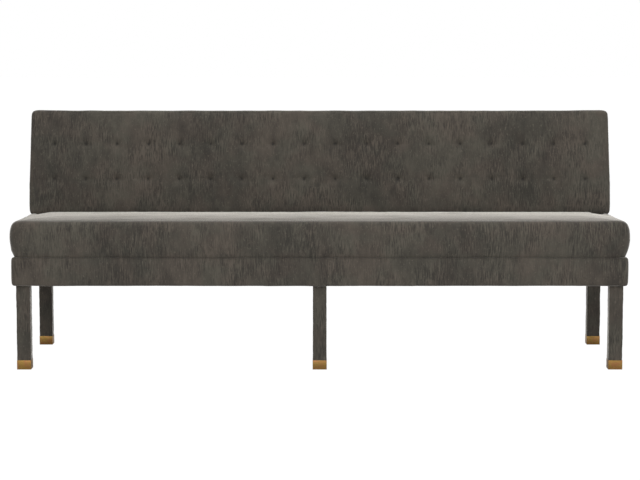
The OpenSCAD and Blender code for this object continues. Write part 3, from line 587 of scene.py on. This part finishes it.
class BENCH_OT_seat(bpy.types.Operator):
    """Crowned seat cushion, drawn in along its seam"""
    bl_idname = "bench.seat"
    bl_label = "Seat cushion"

    def execute(self, context):
        nx, ny, nz = 150, 37, 12
        base_z, front_z, fall = 394.9, 521.5, math.tan(math.radians(1.8))
        wall_high, top_inset, base_inset, front_corner, rear_corner = 127, 34, 17, 38, 10
        piece = quad_block("seat_cushion", nx, ny, nz)
        i, j, k = cell(piece, nx, ny, nz)
        # Inset and height of the side wall, from the seam up to the top's rounded edge
        wall = even_path(
            [(11, -2.5), (5.4, 10), (0.2, 26), (-5, 58), (-3.6, 92), (2.6, 113), (13, 123.6),
             (top_inset, 126.6)], nz + 1)
        rim = (i == 0) | (i == nx) | (j == 0) | (j == ny)
        on_top = k == nz
        inset = np.where(rim, wall[k, 0], np.where(on_top, top_inset, base_inset))
        share = np.where(rim, wall[k, 1] / wall_high, np.where(on_top, 1, 0))
        half_x = SEAT_HALF - inset
        half_y = (SEAT_REAR - SEAT_FRONT) / 2 - inset
        mid_y = (SEAT_REAR + SEAT_FRONT) / 2
        x, y = (2 * i / nx - 1) * half_x, (2 * j / ny - 1) * half_y
        x, y = round_corners(
            x, y, half_x, half_y, np.where(j > ny / 2, rear_corner, np.maximum(front_corner - inset, 12)))
        dx, dy = half_x - np.abs(x), half_y - np.abs(y)
        # The seam isn't drawn in at the rear
        y = y + mid_y + np.where(rim & (k < 4), inset - 0.5, 0) * step(ny - 7, ny, j)
        top = front_z - fall * (y - SEAT_FRONT)
        # The crown, the droop towards the ends, and the strip that the back presses down
        rise = sizes().crown / MM * bulge(dx, 250) * bulge(dy, 210)
        rise = rise - 5 * (1 - np.clip(dx / 60, 0, 1)) ** 2 * step(-150, 60, y)
        pressed = np.clip((y - BACK_FOOT + 34) / 34, 0, 1) * 14.5
        z = base_z + share * (top - base_z) + np.where(on_top, rise - pressed, 0)
        at = np.column_stack([x, y, z])
        up = np.where(on_top, step(0, 60, np.minimum(dx, dy)), 0)
        soft = sizes().ripple / MM * (ripple(at, 150, 1) + 0.4 * ripple(at, 52, 2))
        z = z + up * np.maximum(soft - 0.6, -1.2)
        out = np.where(rim & (k > 0) & (k < nz), np.maximum(soft, -0.9) * np.sin(np.pi * k / nz), 0)
        y = y + np.where((j == 0) | (j == ny), np.sign(j - 1) * out, 0)
        x = x + np.where((i == 0) | (i == nx), np.sign(i - 1) * out, 0)
        low = rim & (k == 0)
        z = z + np.where(low, seam_wave(x, y) - 0.1, 0) + np.where(~rim & (k == 0), 0.9, 0)
        place(piece, np.column_stack([x, y, z]))
        # Held along the seam and under the back, and free to swell in the walls
        held = (k == 0) | (rim & (k == 1)) | (on_top & (y > BACK_FOOT - 30))
        cap = np.where(on_top, np.where(y < 60, 0.15, 0), 1.0) * sizes().seat_swell / MM
        inflate(piece, held, 4, cap)
        # The seam stays sharp
        crease = piece.data.attributes.new("crease_edge", "FLOAT", "EDGE")
        ends = np.array([edge.vertices[:] for edge in piece.data.edges])
        crease.data.foreach_set("value", low[ends].all(axis=1).astype(float))
        smooth(piece)
        keep_clear(piece, "seat_fibre_wrap", 1.3, lambda p: p[:, 2] > 397)
        # Mask of the painted sheen on the seat's top. There is none at the front edge, and none in a soft
        # strip along the back, wider at the ends, which is left dark as painted shade of the back
        x, y = points(piece)[:, :2].T
        side = np.clip((np.abs(x) - 780) / 260, 0, 1) ** 1.6
        flat = BACK_FOOT - 34 - 85 * side
        sheen_paint_mask = step(SEAT_FRONT + 28, SEAT_FRONT + 92, y) * (0.3 + 0.7 * step(-260, -20, y)) \
            * (1 - step(flat - 16 - 40 * side, flat + 16 + 50 * side, y))
        piece.data.attributes.new("open", "FLOAT", "POINT").data.foreach_set("value", sheen_paint_mask)
        ready(piece, velvet(), "velvet", "seat_cover", angle=50)
        return {"FINISHED"}


def tuft_lines():
    """Columns and rows of the back's grid, closer together at the tufts, in millimetres."""
    def between(count):
        t = np.arange(1, count + 1) / count
        return t - 0.09 * np.sin(2 * np.pi * t)

    edge = BACK_HALF - EDGE_DX
    side = (np.arange(0, 10) / 10) ** 0.9
    left = -edge + side * (edge + TUFT_X[0])
    cols = np.concatenate([
        left, [TUFT_X[0]], *[x + between(14) * TUFT_PITCH for x in TUFT_X[:-1]], -left[::-1]])
    foot, head = BACK_Z + EDGE_DZ, TOP_Z - EDGE_DZ
    rows = np.concatenate([
        np.linspace(foot, TUFT_Z[0], 17), TUFT_Z[0] + between(16) * (TUFT_Z[1] - TUFT_Z[0]),
        np.linspace(TUFT_Z[1], head, 16)[1:]])
    return cols, rows


def dimple(x, z):
    """Depth of the tufts' dimples, from 0 to 1, and how tightly the cover is drawn in there, which also
    sets the painted shade in each tuft.
    """
    column = np.rint(x / TUFT_PITCH - 0.5)
    gx = x - np.clip(column + 0.5, -MIDDLE_TUFT, MIDDLE_TUFT) * TUFT_PITCH
    gz = np.where(z < (TUFT_Z[0] + TUFT_Z[1]) / 2, z - TUFT_Z[0], z - TUFT_Z[1])
    far = np.hypot(gx, gz)
    turn = np.arctan2(gz, gx)
    seed = column * 2.4 + (z > TUFT_Z[0] + 64)
    # A deep narrow hollow in a wide shallow one, and five small folds that run into it
    deep = 0.75 * np.exp(-far ** 2 / 80) + 0.25 * np.exp(-far / 18)
    fold = np.cos(5 * turn + seed) * np.exp(-far / 22) * (1 - np.exp(-far / 5))
    return deep + 0.07 * fold, np.exp(-(far / 5) ** 2)


class BENCH_OT_back(bpy.types.Operator):
    """Raked back with two rows of blind tufts"""
    bl_idname = "bench.back"
    bl_label = "Tufted back"

    def execute(self, context):
        cols, rows = tuft_lines()
        nx, ny, nz = len(cols) - 1, len(rows) - 1, 7
        piece = quad_block("tufted_back", nx, ny, nz, bottom=False)
        i, j, k = cell(piece, nx, ny, nz)
        rim = (i == 0) | (i == nx) | (j == 0) | (j == ny)
        # Rows of the walls: three to the rear, then round the front edge
        turn = np.radians(np.array([90, 90, 90, 90, 68, 45, 22, 0]))[np.where(rim, k, nz)]
        back_run = np.array([1, 0.66, 0.33, 0, 0, 0, 0, 0])[np.where(rim, k, nz)]
        x, z = cols[i], rows[j]
        end, top, foot = (i == 0) | (i == nx), j == ny, j == 0
        x = np.where(end, np.sign(x) * (BACK_HALF - EDGE_DX + EDGE_DX * np.sin(turn)), x)
        z = np.where(top, TOP_Z - EDGE_DZ + EDGE_DZ * np.sin(turn), z)
        z = np.where(foot, BACK_Z + EDGE_DZ - EDGE_DZ * np.sin(turn), z)
        edge_z = np.clip(z, BACK_Z + EDGE_DZ, TOP_Z - EDGE_DZ)
        sin = np.where(rim, np.sin(turn), 0)
        mid, half_z = (BACK_Z + TOP_Z) / 2, (TOP_Z - BACK_Z) / 2 - EDGE_DZ * (1 - sin)
        half_x = BACK_HALF - EDGE_DX * (1 - sin)
        x, dz = round_corners(
            x, z - mid, half_x, half_z, np.where((z < mid) & (back_run > 0), 2, 4 + 6 * sin))
        z = mid + dz
        deep, tight = dimple(x, z)
        inner_x = BACK_HALF - EDGE_DX - np.abs(x)
        inner_z = (TOP_Z - BACK_Z) / 2 - EDGE_DZ - np.abs(z - mid)
        swell = bulge(inner_x, 70) * bulge(inner_z, 70)
        front = face_y(edge_z) - sizes().back_swell / MM * np.where(rim, 0, swell) \
            + np.where(rim, 0, deep * sizes().tuft_depth / MM)
        # Depth of the rounded edge and of the wall behind it; the foot's wall ends over the seat
        behind = np.where(top, 15.5, np.where(foot, 11, 14)) * (1 - np.cos(turn))
        rear = np.where(foot & ~end, 215, rear_y(z))
        y = front + behind
        y = y + back_run * (rear - y)
        at = np.column_stack([x, y, z])
        soft = sizes().ripple / MM * (ripple(at, 120, 3) + 0.5 * ripple(at, 45, 4))
        y = y - np.where(rim, 0, (soft + 0.5) * (1 - 0.8 * np.exp(-((deep - 0.5) * 3) ** 2)) * swell)
        # The top edge wanders and dips a little, and the foot's ends reach down to the heel strip
        wave = (0.8 * ripple(at, 75, 6) + 1.4 - 2.4 * step(0, 160, inner_x)) * (1 - back_run) \
            - 4.4 * back_run
        at_end = np.abs(x) > BACK_HALF - EDGE_DX
        z = z + np.where(top, wave, 0) - np.where(foot & at_end & (back_run > 0), 6, 0)
        out = np.interp(
            (z - BACK_Z) / (TOP_Z - BACK_Z), [0, 0.1, 0.28, 0.6, 0.9, 1], [4, 6.4, 7, 5, 3.5, 2.6])
        x = x + np.sign(x) * np.where(end & (k > 1), out, 0)
        place(piece, np.column_stack([x, y, z]))
        held = (rim & (k < 4)) | (tight > 0.1)
        inflate(piece, held, 3, sizes().back_puff / MM)
        smooth(piece)

        def on_face(p):
            return p[:, 1] < face_y(p[:, 2]) + 12

        keep_clear(
            piece, "back_fibre_wrap", 1.5, lambda p: on_face(p) & (np.abs(p[:, 0]) < BACK_HALF - 20))
        p = points(piece)
        # Painted shade in the tufts' hollows, on the cover's face only
        painted_tuft_shade = piece.data.attributes.new("painted_tuft_shade", "FLOAT", "POINT")
        painted_tuft_shade.data.foreach_set("value", np.where(on_face(p), dimple(p[:, 0], p[:, 2])[1], 0))
        thicken(piece)
        ready(piece, velvet(), "velvet", "back_cover", angle=50)
        return {"FINISHED"}


class BENCH_OT_tufts(bpy.types.Operator):
    """Short twisted stitch across the bottom of each tuft"""
    bl_idname = "bench.tufts"
    bl_label = "Tuft stitches"

    def execute(self, context):
        radius, half, stand_off = 0.8 * MM, 3 * MM, 2.6
        deselect()
        bpy.ops.mesh.primitive_cylinder_add(
            vertices=10, radius=radius, depth=2 * half, rotation=(0, math.pi / 2, 0))
        piece = named("tuft_thread")
        bpy.ops.object.transform_apply(location=False, rotation=True, scale=False)
        bpy.ops.object.mode_set(mode="EDIT")
        pick(piece, "EDGE", lambda e: abs(e.verts[0].co.x - e.verts[1].co.x) > half)
        bpy.ops.mesh.subdivide(number_cuts=9)
        bpy.ops.object.mode_set(mode="OBJECT")
        p = points(piece)
        # Three twisted strands, drawn thin and pushed in at the two ends
        twist = p[:, 0] * 1.1
        lobes = 1 + 0.14 * np.cos(3 * (np.arctan2(p[:, 2], p[:, 1]) + twist))
        taper = np.where(np.abs(p[:, 0]) > 2.7, 0.55, 1) * lobes
        sunk = np.where(np.abs(p[:, 0]) > 2.2, 0.5, 0)
        place(piece, np.column_stack([p[:, 0], p[:, 1] * taper + sunk, p[:, 2] * taper]))
        copies = []
        for x in TUFT_X:
            for z in TUFT_Z:
                copies.append(copy_of(piece, "tuft_thread"))
                copies[-1].data.transform(Matrix.Translation(
                    (x * MM, (face_y(z) + stand_off) * MM, z * MM)))
        bpy.data.objects.remove(piece)
        deselect()
        for copy in copies:
            copy.select_set(True)
        bpy.context.view_layer.objects.active = copies[0]
        bpy.ops.object.join()
        piece = named("tuft_threads")
        ready(piece, twine(), "thread", "tuft_stitches")
        return {"FINISHED"}


def path_strip(name, path, section, nx, ny):
    """Strip of nx by ny cells that follows a plan line, with the section's inset and height."""
    piece = grid_sheet(name, nx, ny)
    i, j, _ = cell(piece, nx, ny, 1)
    line, profile = even_path(path, nx + 1), even_path(section, ny + 1)
    along = np.gradient(line, axis=0)
    along /= np.linalg.norm(along, axis=1)[:, None]
    inward = np.column_stack([-along[:, 1], along[:, 0]])
    at = line[i] + inward[i] * profile[j, :1]
    place(piece, np.column_stack([at, profile[j, 1]]))
    return piece, i, j


def corner(cx, cy, r, start, count=6):
    """Points of a quarter turn, anticlockwise seen from above."""
    a = np.radians(start + 90 * np.arange(count + 1) / count)
    return [(cx + r * math.cos(t), cy + r * math.sin(t)) for t in a]


class BENCH_OT_apron(bpy.types.Operator):
    """Padded band round the base frame"""
    bl_idname = "bench.apron"
    bl_label = "Apron band"

    def execute(self, context):
        half, front, rear = APRON[1].x / MM, APRON[0].y / MM, APRON[1].y / MM
        low, high = APRON[0].z / MM, APRON[1].z / MM
        r = 18
        path = [(-half + 15, rear + 0.2), (-half + 8, rear + 0.2), (-half + 3, rear - 0.1)]
        path += [(-half, y) for y in np.linspace(rear - 5, front + 30, 24)]
        path += corner(-half + r, front + r, r, 180)
        path += [(x, front) for x in np.linspace(-half + 32, half - 32, 80)]
        path += corner(half - r, front + r, r, 270)
        path += [(half, y) for y in np.linspace(front + 30, rear - 5, 24)]
        path += [(half - 3, rear - 0.1), (half - 8, rear + 0.2), (half - 15, rear + 0.2)]
        # Inset and height, from the turn under the frame up to the turn under the seat
        section = [
            (15, low + 0.5), (10.5, low - 1.2), (5.5, low - 1.8), (1.3, low + 0.6), (0, low + 7),
            (-0.8, low + 49), (0, high - 8), (1.6, high - 2), (6, high - 0.1), (12, high), (24, high)]
        nx, ny = 336, 20
        piece, i, j = path_strip("apron_band", path, section, nx, ny)
        p = points(piece)
        soft = ripple(p, 110, 7) * 0.8 + ripple(p, 34, 8) * 0.3
        amount = np.sin(np.pi * j / ny)
        normal = np.column_stack([
            np.where(np.abs(p[:, 0]) > half - 12, np.sign(p[:, 0]), 0),
            np.where(p[:, 1] < front + 12, -1.0, 0), np.zeros(len(p))])
        p = p + normal * ((soft + 0.4) * amount)[:, None]
        wave = seam_wave(p[:, 0], p[:, 1])
        p[:, 2] += np.where(j > ny - 6, wave, 0) * np.clip((j - ny + 6) / 3, 0, 1)
        p[:, 2] += np.where(j < 4, ripple(p, 90, 9) * 0.5, 0)
        # Along the front the lower turn reaches further back
        lower_front = (j < 2) & (p[:, 1] < front + 40)
        p[:, 1] += np.where(lower_front, 5.2 * step(16, 30, half - np.abs(p[:, 0])), 0)
        place(piece, p)
        held = (j < 2) | (j > ny - 2) | (i == 0) | (i == nx)
        inflate(piece, held, 3, 2)
        smooth(piece)
        thicken(piece)
        ready(piece, velvet(), "velvet", "apron_cover", angle=50)
        return {"FINISHED"}


def square_post(name, node):
    """Post about the origin, as wide and tall as a node, left in edit mode, and its two sizes."""
    low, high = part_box(node)
    size, tall = (high.x - low.x) / MM, (high.z - low.z) / MM
    deselect()
    bpy.ops.mesh.primitive_cube_add(size=1, location=(0, 0, 0))
    post = named(name)
    bpy.ops.object.mode_set(mode="EDIT")
    bpy.ops.transform.resize(value=(size * MM, size * MM, tall * MM))
    return post, size, tall


def middle(node):
    """Centre of a node's box, in millimetres."""
    low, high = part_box(node)
    return np.array((low + high) / 2) / MM


class BENCH_OT_legs(bpy.types.Operator):
    """Velvet sleeve on each square leg"""
    bl_idname = "bench.legs"
    bl_label = "Leg sleeves"

    def execute(self, context):
        corner_round = 3
        master, size, tall = square_post("leg_sleeve", "leg_cover_front_centre")
        pick(master, "FACE", lambda f: abs(f.normal.z) > 0.5)
        bpy.ops.mesh.delete(type="FACE")
        pick(master, "EDGE", lambda e: rise_of(e) > 0.1)
        bpy.ops.mesh.bevel(offset=corner_round * MM, segments=3, affect="EDGES")
        pick(master, "EDGE", lambda e: rise_of(e) > 0.1)
        bpy.ops.mesh.subdivide(number_cuts=35)
        pick(master, "EDGE", lambda e: rise_of(e) < 0.001 and e.calc_length() > 0.02)
        bpy.ops.mesh.subdivide(number_cuts=5)
        bpy.ops.object.mode_set(mode="OBJECT")
        base = points(master)
        for number, leg in enumerate(LEGS):
            copy = copy_of(master, "leg_sleeve_" + leg)
            p = base.copy()
            # Creases that run round the leg, and a slower unevenness
            flat = np.column_stack([p[:, 0] * 0.2, p[:, 1] * 0.2, p[:, 2]])
            crease = 0.35 * ripple(flat, 13, number + 11) + 0.4 * ripple(p, 60, number + 21)
            crease = np.maximum(crease, -0.5) * step(0, 20, tall / 2 - np.abs(p[:, 2]))
            out = p[:, :2] / np.maximum(np.abs(p[:, :2]).max(axis=1), 1)[:, None]
            p[:, :2] += out * crease[:, None]
            place(copy, p + middle("leg_cover_" + leg))
            thicken(copy, 0.0018)
            ready(copy, velvet(), "velvet", "leg_cover_" + leg, angle=50)
        bpy.data.objects.remove(master)
        return {"FINISHED"}


class BENCH_OT_ferrules(bpy.types.Operator):
    """Square brass cup on the foot of each leg"""
    bl_idname = "bench.ferrules"
    bl_label = "Brass ferrules"

    def execute(self, context):
        wall, corner_round, lip_round = 0.7, 1.6, 0.25
        master, _, tall = square_post("ferrule_cup", "ferrule_front_centre")
        pick(master, "EDGE", lambda e: rise_of(e) > 0.01)
        bpy.ops.mesh.bevel(offset=corner_round * MM, segments=4, affect="EDGES")
        pick(master, "FACE", lambda f: f.normal.z > 0.5)
        bpy.ops.mesh.inset(thickness=wall * MM, depth=0)
        bpy.ops.mesh.extrude_region_move(TRANSFORM_OT_translate={"value": (0, 0, -(tall - wall) * MM)})
        pick(master, "EDGE", lambda e: len(e.link_faces) == 2 and e.calc_face_angle(0) > 1.2
             and rise_of(e) < 0.0001)
        bpy.ops.mesh.bevel(offset=lip_round * MM, segments=2, affect="EDGES")
        face_outwards()
        bpy.ops.object.mode_set(mode="OBJECT")
        base = points(master)
        for leg in LEGS:
            copy = copy_of(master, "ferrule_cup_" + leg)
            place(copy, base + middle("ferrule_" + leg))
            ready(copy, brass(), "brass", "ferrule_" + leg, angle=25)
        bpy.data.objects.remove(master)
        return {"FINISHED"}


class BENCH_OT_outside_back(bpy.types.Operator):
    """Stretched cover on the rear of the bench"""
    bl_idname = "bench.outside_back"
    bl_label = "Outside back"

    def execute(self, context):
        half, low, high = OUTSIDE[1].x / MM, OUTSIDE[0].z / MM, OUTSIDE[1].z / MM + 6
        turned = 8
        run = np.concatenate([
            [-half - turned, -half - 4], np.linspace(-half, half, 121), [half + 4, half + turned]])
        nx, ny = len(run) - 1, 34
        piece = grid_sheet("outside_back_panel", nx, ny)
        i, j, _ = cell(piece, nx, ny, 1)
        x, z = np.clip(run[i], -half, half), low + (high - low) * j / ny
        # The sides are turned forwards under the back's ends
        y = rear_y(z) + 2.1 - np.maximum(np.abs(run[i]) - half, 0)
        x = x - np.sign(x) * np.where(np.abs(run[i]) > half + 1, 0.9, 0)
        at = np.column_stack([x, y, z])
        free = step(0, 50, half - np.abs(x)) * step(0, 40, z - low) * step(0, 40, high - z)
        y = y + free * (0.5 + 0.5 * ripple(at, 240, 31) + 0.15 * ripple(at, 60, 32))
        place(piece, np.column_stack([x, y, z]))
        bpy.ops.object.mode_set(mode="EDIT")
        face_outwards()
        bpy.ops.object.mode_set(mode="OBJECT")
        if piece.data.polygons[0].normal.y < 0:
            piece.data.flip_normals()
        thicken(piece)
        finish_with(piece, "BEVEL", width=0.0008, segments=2, limit_method="ANGLE", angle_limit=1)
        ready(piece, velvet(), "velvet", "outside_back_cover")
        return {"FINISHED"}


class BENCH_OT_heel(bpy.types.Operator):
    """Strip of cover that closes the foot of the back behind the seat"""
    bl_idname = "bench.heel"
    bl_label = "Heel strip"

    def execute(self, context):
        half, front, rear = HEEL[1].x / MM, HEEL[0].y / MM, HEEL[1].y / MM
        low, high = HEEL[0].z / MM, HEEL[1].z / MM
        r = 4
        path = [(-half, y) for y in np.linspace(rear, front + 9, 8)]
        path += corner(-half + r, front + r, r, 180, 4)
        path += [(x, front) for x in np.linspace(-half + 12, half - 12, 60)]
        path += corner(half - r, front + r, r, 270, 4)
        path += [(half, y) for y in np.linspace(front + 9, rear, 8)]
        upright = [(0, low), (0, (low + high) / 2), (0, high)]
        piece = path_strip("heel_strip", path, upright, 200, 8)[0]
        thicken(piece)
        ready(piece, velvet(), "velvet", "heel_cover", angle=50)
        return {"FINISHED"}


class BENCH_OT_underside(bpy.types.Operator):
    """Black dust cloth stapled under the base frame, cut out round the legs"""
    bl_idname = "bench.underside"
    bl_label = "Underside cloth"

    def execute(self, context):
        low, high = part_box("dust_cover")
        # A little wider than the node, so that its edges tuck into the apron's turn
        low, high = low - Vector((0.6, 0.7, 0)) * MM, high + Vector((0.6, 1.7, 0)) * MM
        boxes = [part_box("leg_post_" + leg) for leg in LEGS]

        def lines(n, pitch=24):
            """Grid lines along an axis, with one at each side of each leg."""
            stops = sorted({round(end[n] / MM, 2) for box in boxes for end in box}
                           | {low[n] / MM, high[n] / MM})
            out = []
            for a, b in zip(stops, stops[1:]):
                out += np.linspace(a, b, max(2, int((b - a) / pitch) + 2))[:-1].tolist()
            out.append(stops[-1])
            return np.array([v for n, v in enumerate(out) if n == 0 or v - out[n - 1] > 0.3])

        cols, rows = lines(0), lines(1)
        nx, ny = len(cols) - 1, len(rows) - 1
        piece = grid_sheet("underside_cloth", nx, ny)
        i, j, _ = cell(piece, nx, ny, 1)
        x, y = cols[i], rows[j]
        at = np.column_stack([x, y, np.zeros(len(x))])
        free = step(22, 90, high.x / MM - np.abs(x))
        free = free * step(22, 90, high.y / MM - y) * step(22, 90, y - low.y / MM)
        z = low.z / MM - free * (1.2 + 0.5 * ripple(at, 90, 41))
        place(piece, np.column_stack([x, y, z]))
        bpy.ops.object.mode_set(mode="EDIT")

        def under_leg(face):
            c, near = face.calc_center_median(), 1e-4
            return any(all(b[0][n] - near < c[n] < b[1][n] + near for n in (0, 1)) for b in boxes)

        pick(piece, "FACE", under_leg)
        bpy.ops.mesh.delete(type="FACE")
        bpy.ops.object.mode_set(mode="OBJECT")
        piece.data.flip_normals()
        thicken(piece, 0.0008)
        ready(piece, dust_cloth(), "black_cloth", "dust_cover")
        return {"FINISHED"}


class BENCH_OT_hidden_frame(bpy.types.Operator):
    """Finishes of the frame, springing and stuffing inside the covers"""
    bl_idname = "bench.hidden_frame"
    bl_label = "Frame finishes"

    def execute(self, context):
        # Pores about 2 mm wide and 80 mm long
        grains = {"X": (12, 420, 420), "Y": (420, 12, 420), "Z": (420, 420, 12)}
        jute = cloth("Jute webbing", "#a98f60", "#7d673f", 380, 0.85)
        lining = cloth("Woven lining", "#6a665e", "#4c4942", 900, 0.85)
        foam = porous("Cut polyurethane foam", "#efe8c4", "#d8cd9b", 900, 0.9, 0.0006)
        wadding = porous("Polyester wadding", "#f7f7f4", "#e2e2dc", 420, 0.95, 0.0012)
        board = porous("Pressed fibreboard", "#b99c68", "#9a7f50", 1500, 0.8, 0.0001)
        by_slot = {
            "webbing": jute, "lining": lining, "foam": foam, "fibre": wadding, "board": board,
            "thread": twine(), "zinc_steel": zinc(), "nylon": nylon(), "velvet": velvet(), "brass": brass(),
            "black_cloth": dust_cloth()}
        for part in frame["record"]["subparts"]:
            name, slot = part["node"], part["material_slot"]
            node = frame["nodes"][name]
            if slot in ("beech", "plywood"):
                low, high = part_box(name)
                size = high - low
                along = "XYZ"[max(range(3), key=lambda n: size[n])]
                light, dark = ("#cfae7f", "#b28b5a") if slot == "beech" else ("#d9c196", "#bf9f6c")
                tone = timber(f"Planed {slot}, grain along {along}", light, dark, grains[along])
            else:
                tone = by_slot[slot]
            for holder in node.material_slots:
                holder.material = tone
        return {"FINISHED"}


class BENCH_OT_stage(bpy.types.Operator):
    """Pale floor, soft studio light and the camera"""
    bl_idname = "bench.stage"
    bl_label = "Studio"

    def execute(self, context):
        scene = context.scene
        deselect()
        bpy.ops.mesh.primitive_plane_add(size=90, location=(0, 0, 0))
        floor = named("floor")
        material, tree = fresh("Studio floor")
        if tree is not None:
            # Matt white studio floor that fades into the backdrop and keeps a faint shadow
            shader = add(tree, "ShaderNodeBsdfPrincipled", {
                "Base Color": colours().floor[:], "Roughness": 0.9, "Specular IOR Level": 0.1})
            glow = add(tree, "ShaderNodeEmission", {"Color": (1, 1, 1, 1), "Strength": 1.06})
            seen = add(tree, "ShaderNodeLightPath", out="Is Camera Ray")
            seen = maths(tree, "MULTIPLY", seen, 0.93)
            mixed = add(tree, "ShaderNodeMixShader", {0: seen, 1: shader, 2: glow})
            add(tree, "ShaderNodeOutputMaterial", {"Surface": mixed})
        floor.data.materials.append(material)

        world = bpy.data.worlds.new("Studio")
        world.use_nodes = True
        scene.world = world
        tree = world.node_tree
        tree.nodes.clear()
        path = tree.nodes.new("ShaderNodeLightPath")
        seen = path.outputs["Is Camera Ray"]
        for ray in ("Is Glossy Ray", "Is Transmission Ray"):
            seen = maths(tree, "MAXIMUM", seen, path.outputs[ray])
        strength = ranged(tree, seen, 0, 1, 0.4, 1.0)
        sky = add(tree, "ShaderNodeBackground", {"Color": (1, 1, 1, 1), "Strength": strength})
        add(tree, "ShaderNodeOutputWorld", {"Surface": sky})

        # Places, aims and widths in metres, power in watts
        for name, spot, aim, size, power in (
                ("key", (-0.9, -4.6, 3.0), (0, 0, 0.5), 3.0, 128),
                ("fill", (4.0, -2.9, 1.5), (-0.6, 0, 0.4), 2.2, 60),
                ("top", (0, 0.5, 3.4), (0, 0, 0.4), 3.4, 86)):
            lamp = bpy.data.lights.new(name, "AREA")
            lamp.size, lamp.energy = size, power
            holder = bpy.data.objects.new(name, lamp)
            holder.location = spot
            holder.rotation_euler = (Vector(aim) - Vector(spot)).to_track_quat("-Z", "Y").to_euler()
            scene.collection.objects.link(holder)

        # Fitted camera, 1.16 m up and 6 degrees down
        lens = bpy.data.cameras.new("camera")
        lens.sensor_fit, lens.sensor_width, lens.lens = "HORIZONTAL", 36, 108.62
        lens.clip_end = 100
        camera = bpy.data.objects.new("camera", lens)
        camera.location = (0.00104, -6.9175, 1.15724)
        camera.rotation_euler = (math.radians(90 - 6.067), 0, 0)
        scene.collection.objects.link(camera)
        scene.camera = camera
        scene.view_settings.view_transform = "Standard"
        return {"FINISHED"}


STEPS = (
    BENCH_OT_hidden_frame, BENCH_OT_seat, BENCH_OT_back, BENCH_OT_tufts, BENCH_OT_apron, BENCH_OT_legs,
    BENCH_OT_ferrules, BENCH_OT_outside_back, BENCH_OT_heel, BENCH_OT_underside, BENCH_OT_stage,
)


class BENCH_PT_panel(bpy.types.Panel):
    """Sizes, colours and steps of the bench"""
    bl_idname = "BENCH_PT_panel"
    bl_label = "Banquette bench"
    bl_space_type = "VIEW_3D"
    bl_region_type = "UI"
    bl_category = "Bench"

    def draw(self, context):
        for group in (sizes(), colours()):
            box = self.layout.box()
            for key in group.__annotations__:
                box.prop(group, key)
        for step_class in STEPS:
            self.layout.operator(step_class.bl_idname)


CLASSES = (BenchSizes, BenchColours, *STEPS, BENCH_PT_panel)


def register():
    for item in CLASSES:
        bpy.utils.register_class(item)
    bpy.types.Scene.bench_sizes = PointerProperty(type=BenchSizes)
    bpy.types.Scene.bench_colours = PointerProperty(type=BenchColours)


def unregister():
    del bpy.types.Scene.bench_colours
    del bpy.types.Scene.bench_sizes
    for item in reversed(CLASSES):
        bpy.utils.unregister_class(item)


def main():
    register()
    bpy.ops.bench.hidden_frame()
    bpy.ops.bench.seat()
    bpy.ops.bench.back()
    bpy.ops.bench.tufts()
    bpy.ops.bench.apron()
    bpy.ops.bench.legs()
    bpy.ops.bench.ferrules()
    bpy.ops.bench.outside_back()
    bpy.ops.bench.heel()
    bpy.ops.bench.underside()
    bpy.ops.bench.stage()


if __name__ == "__main__":
    main()
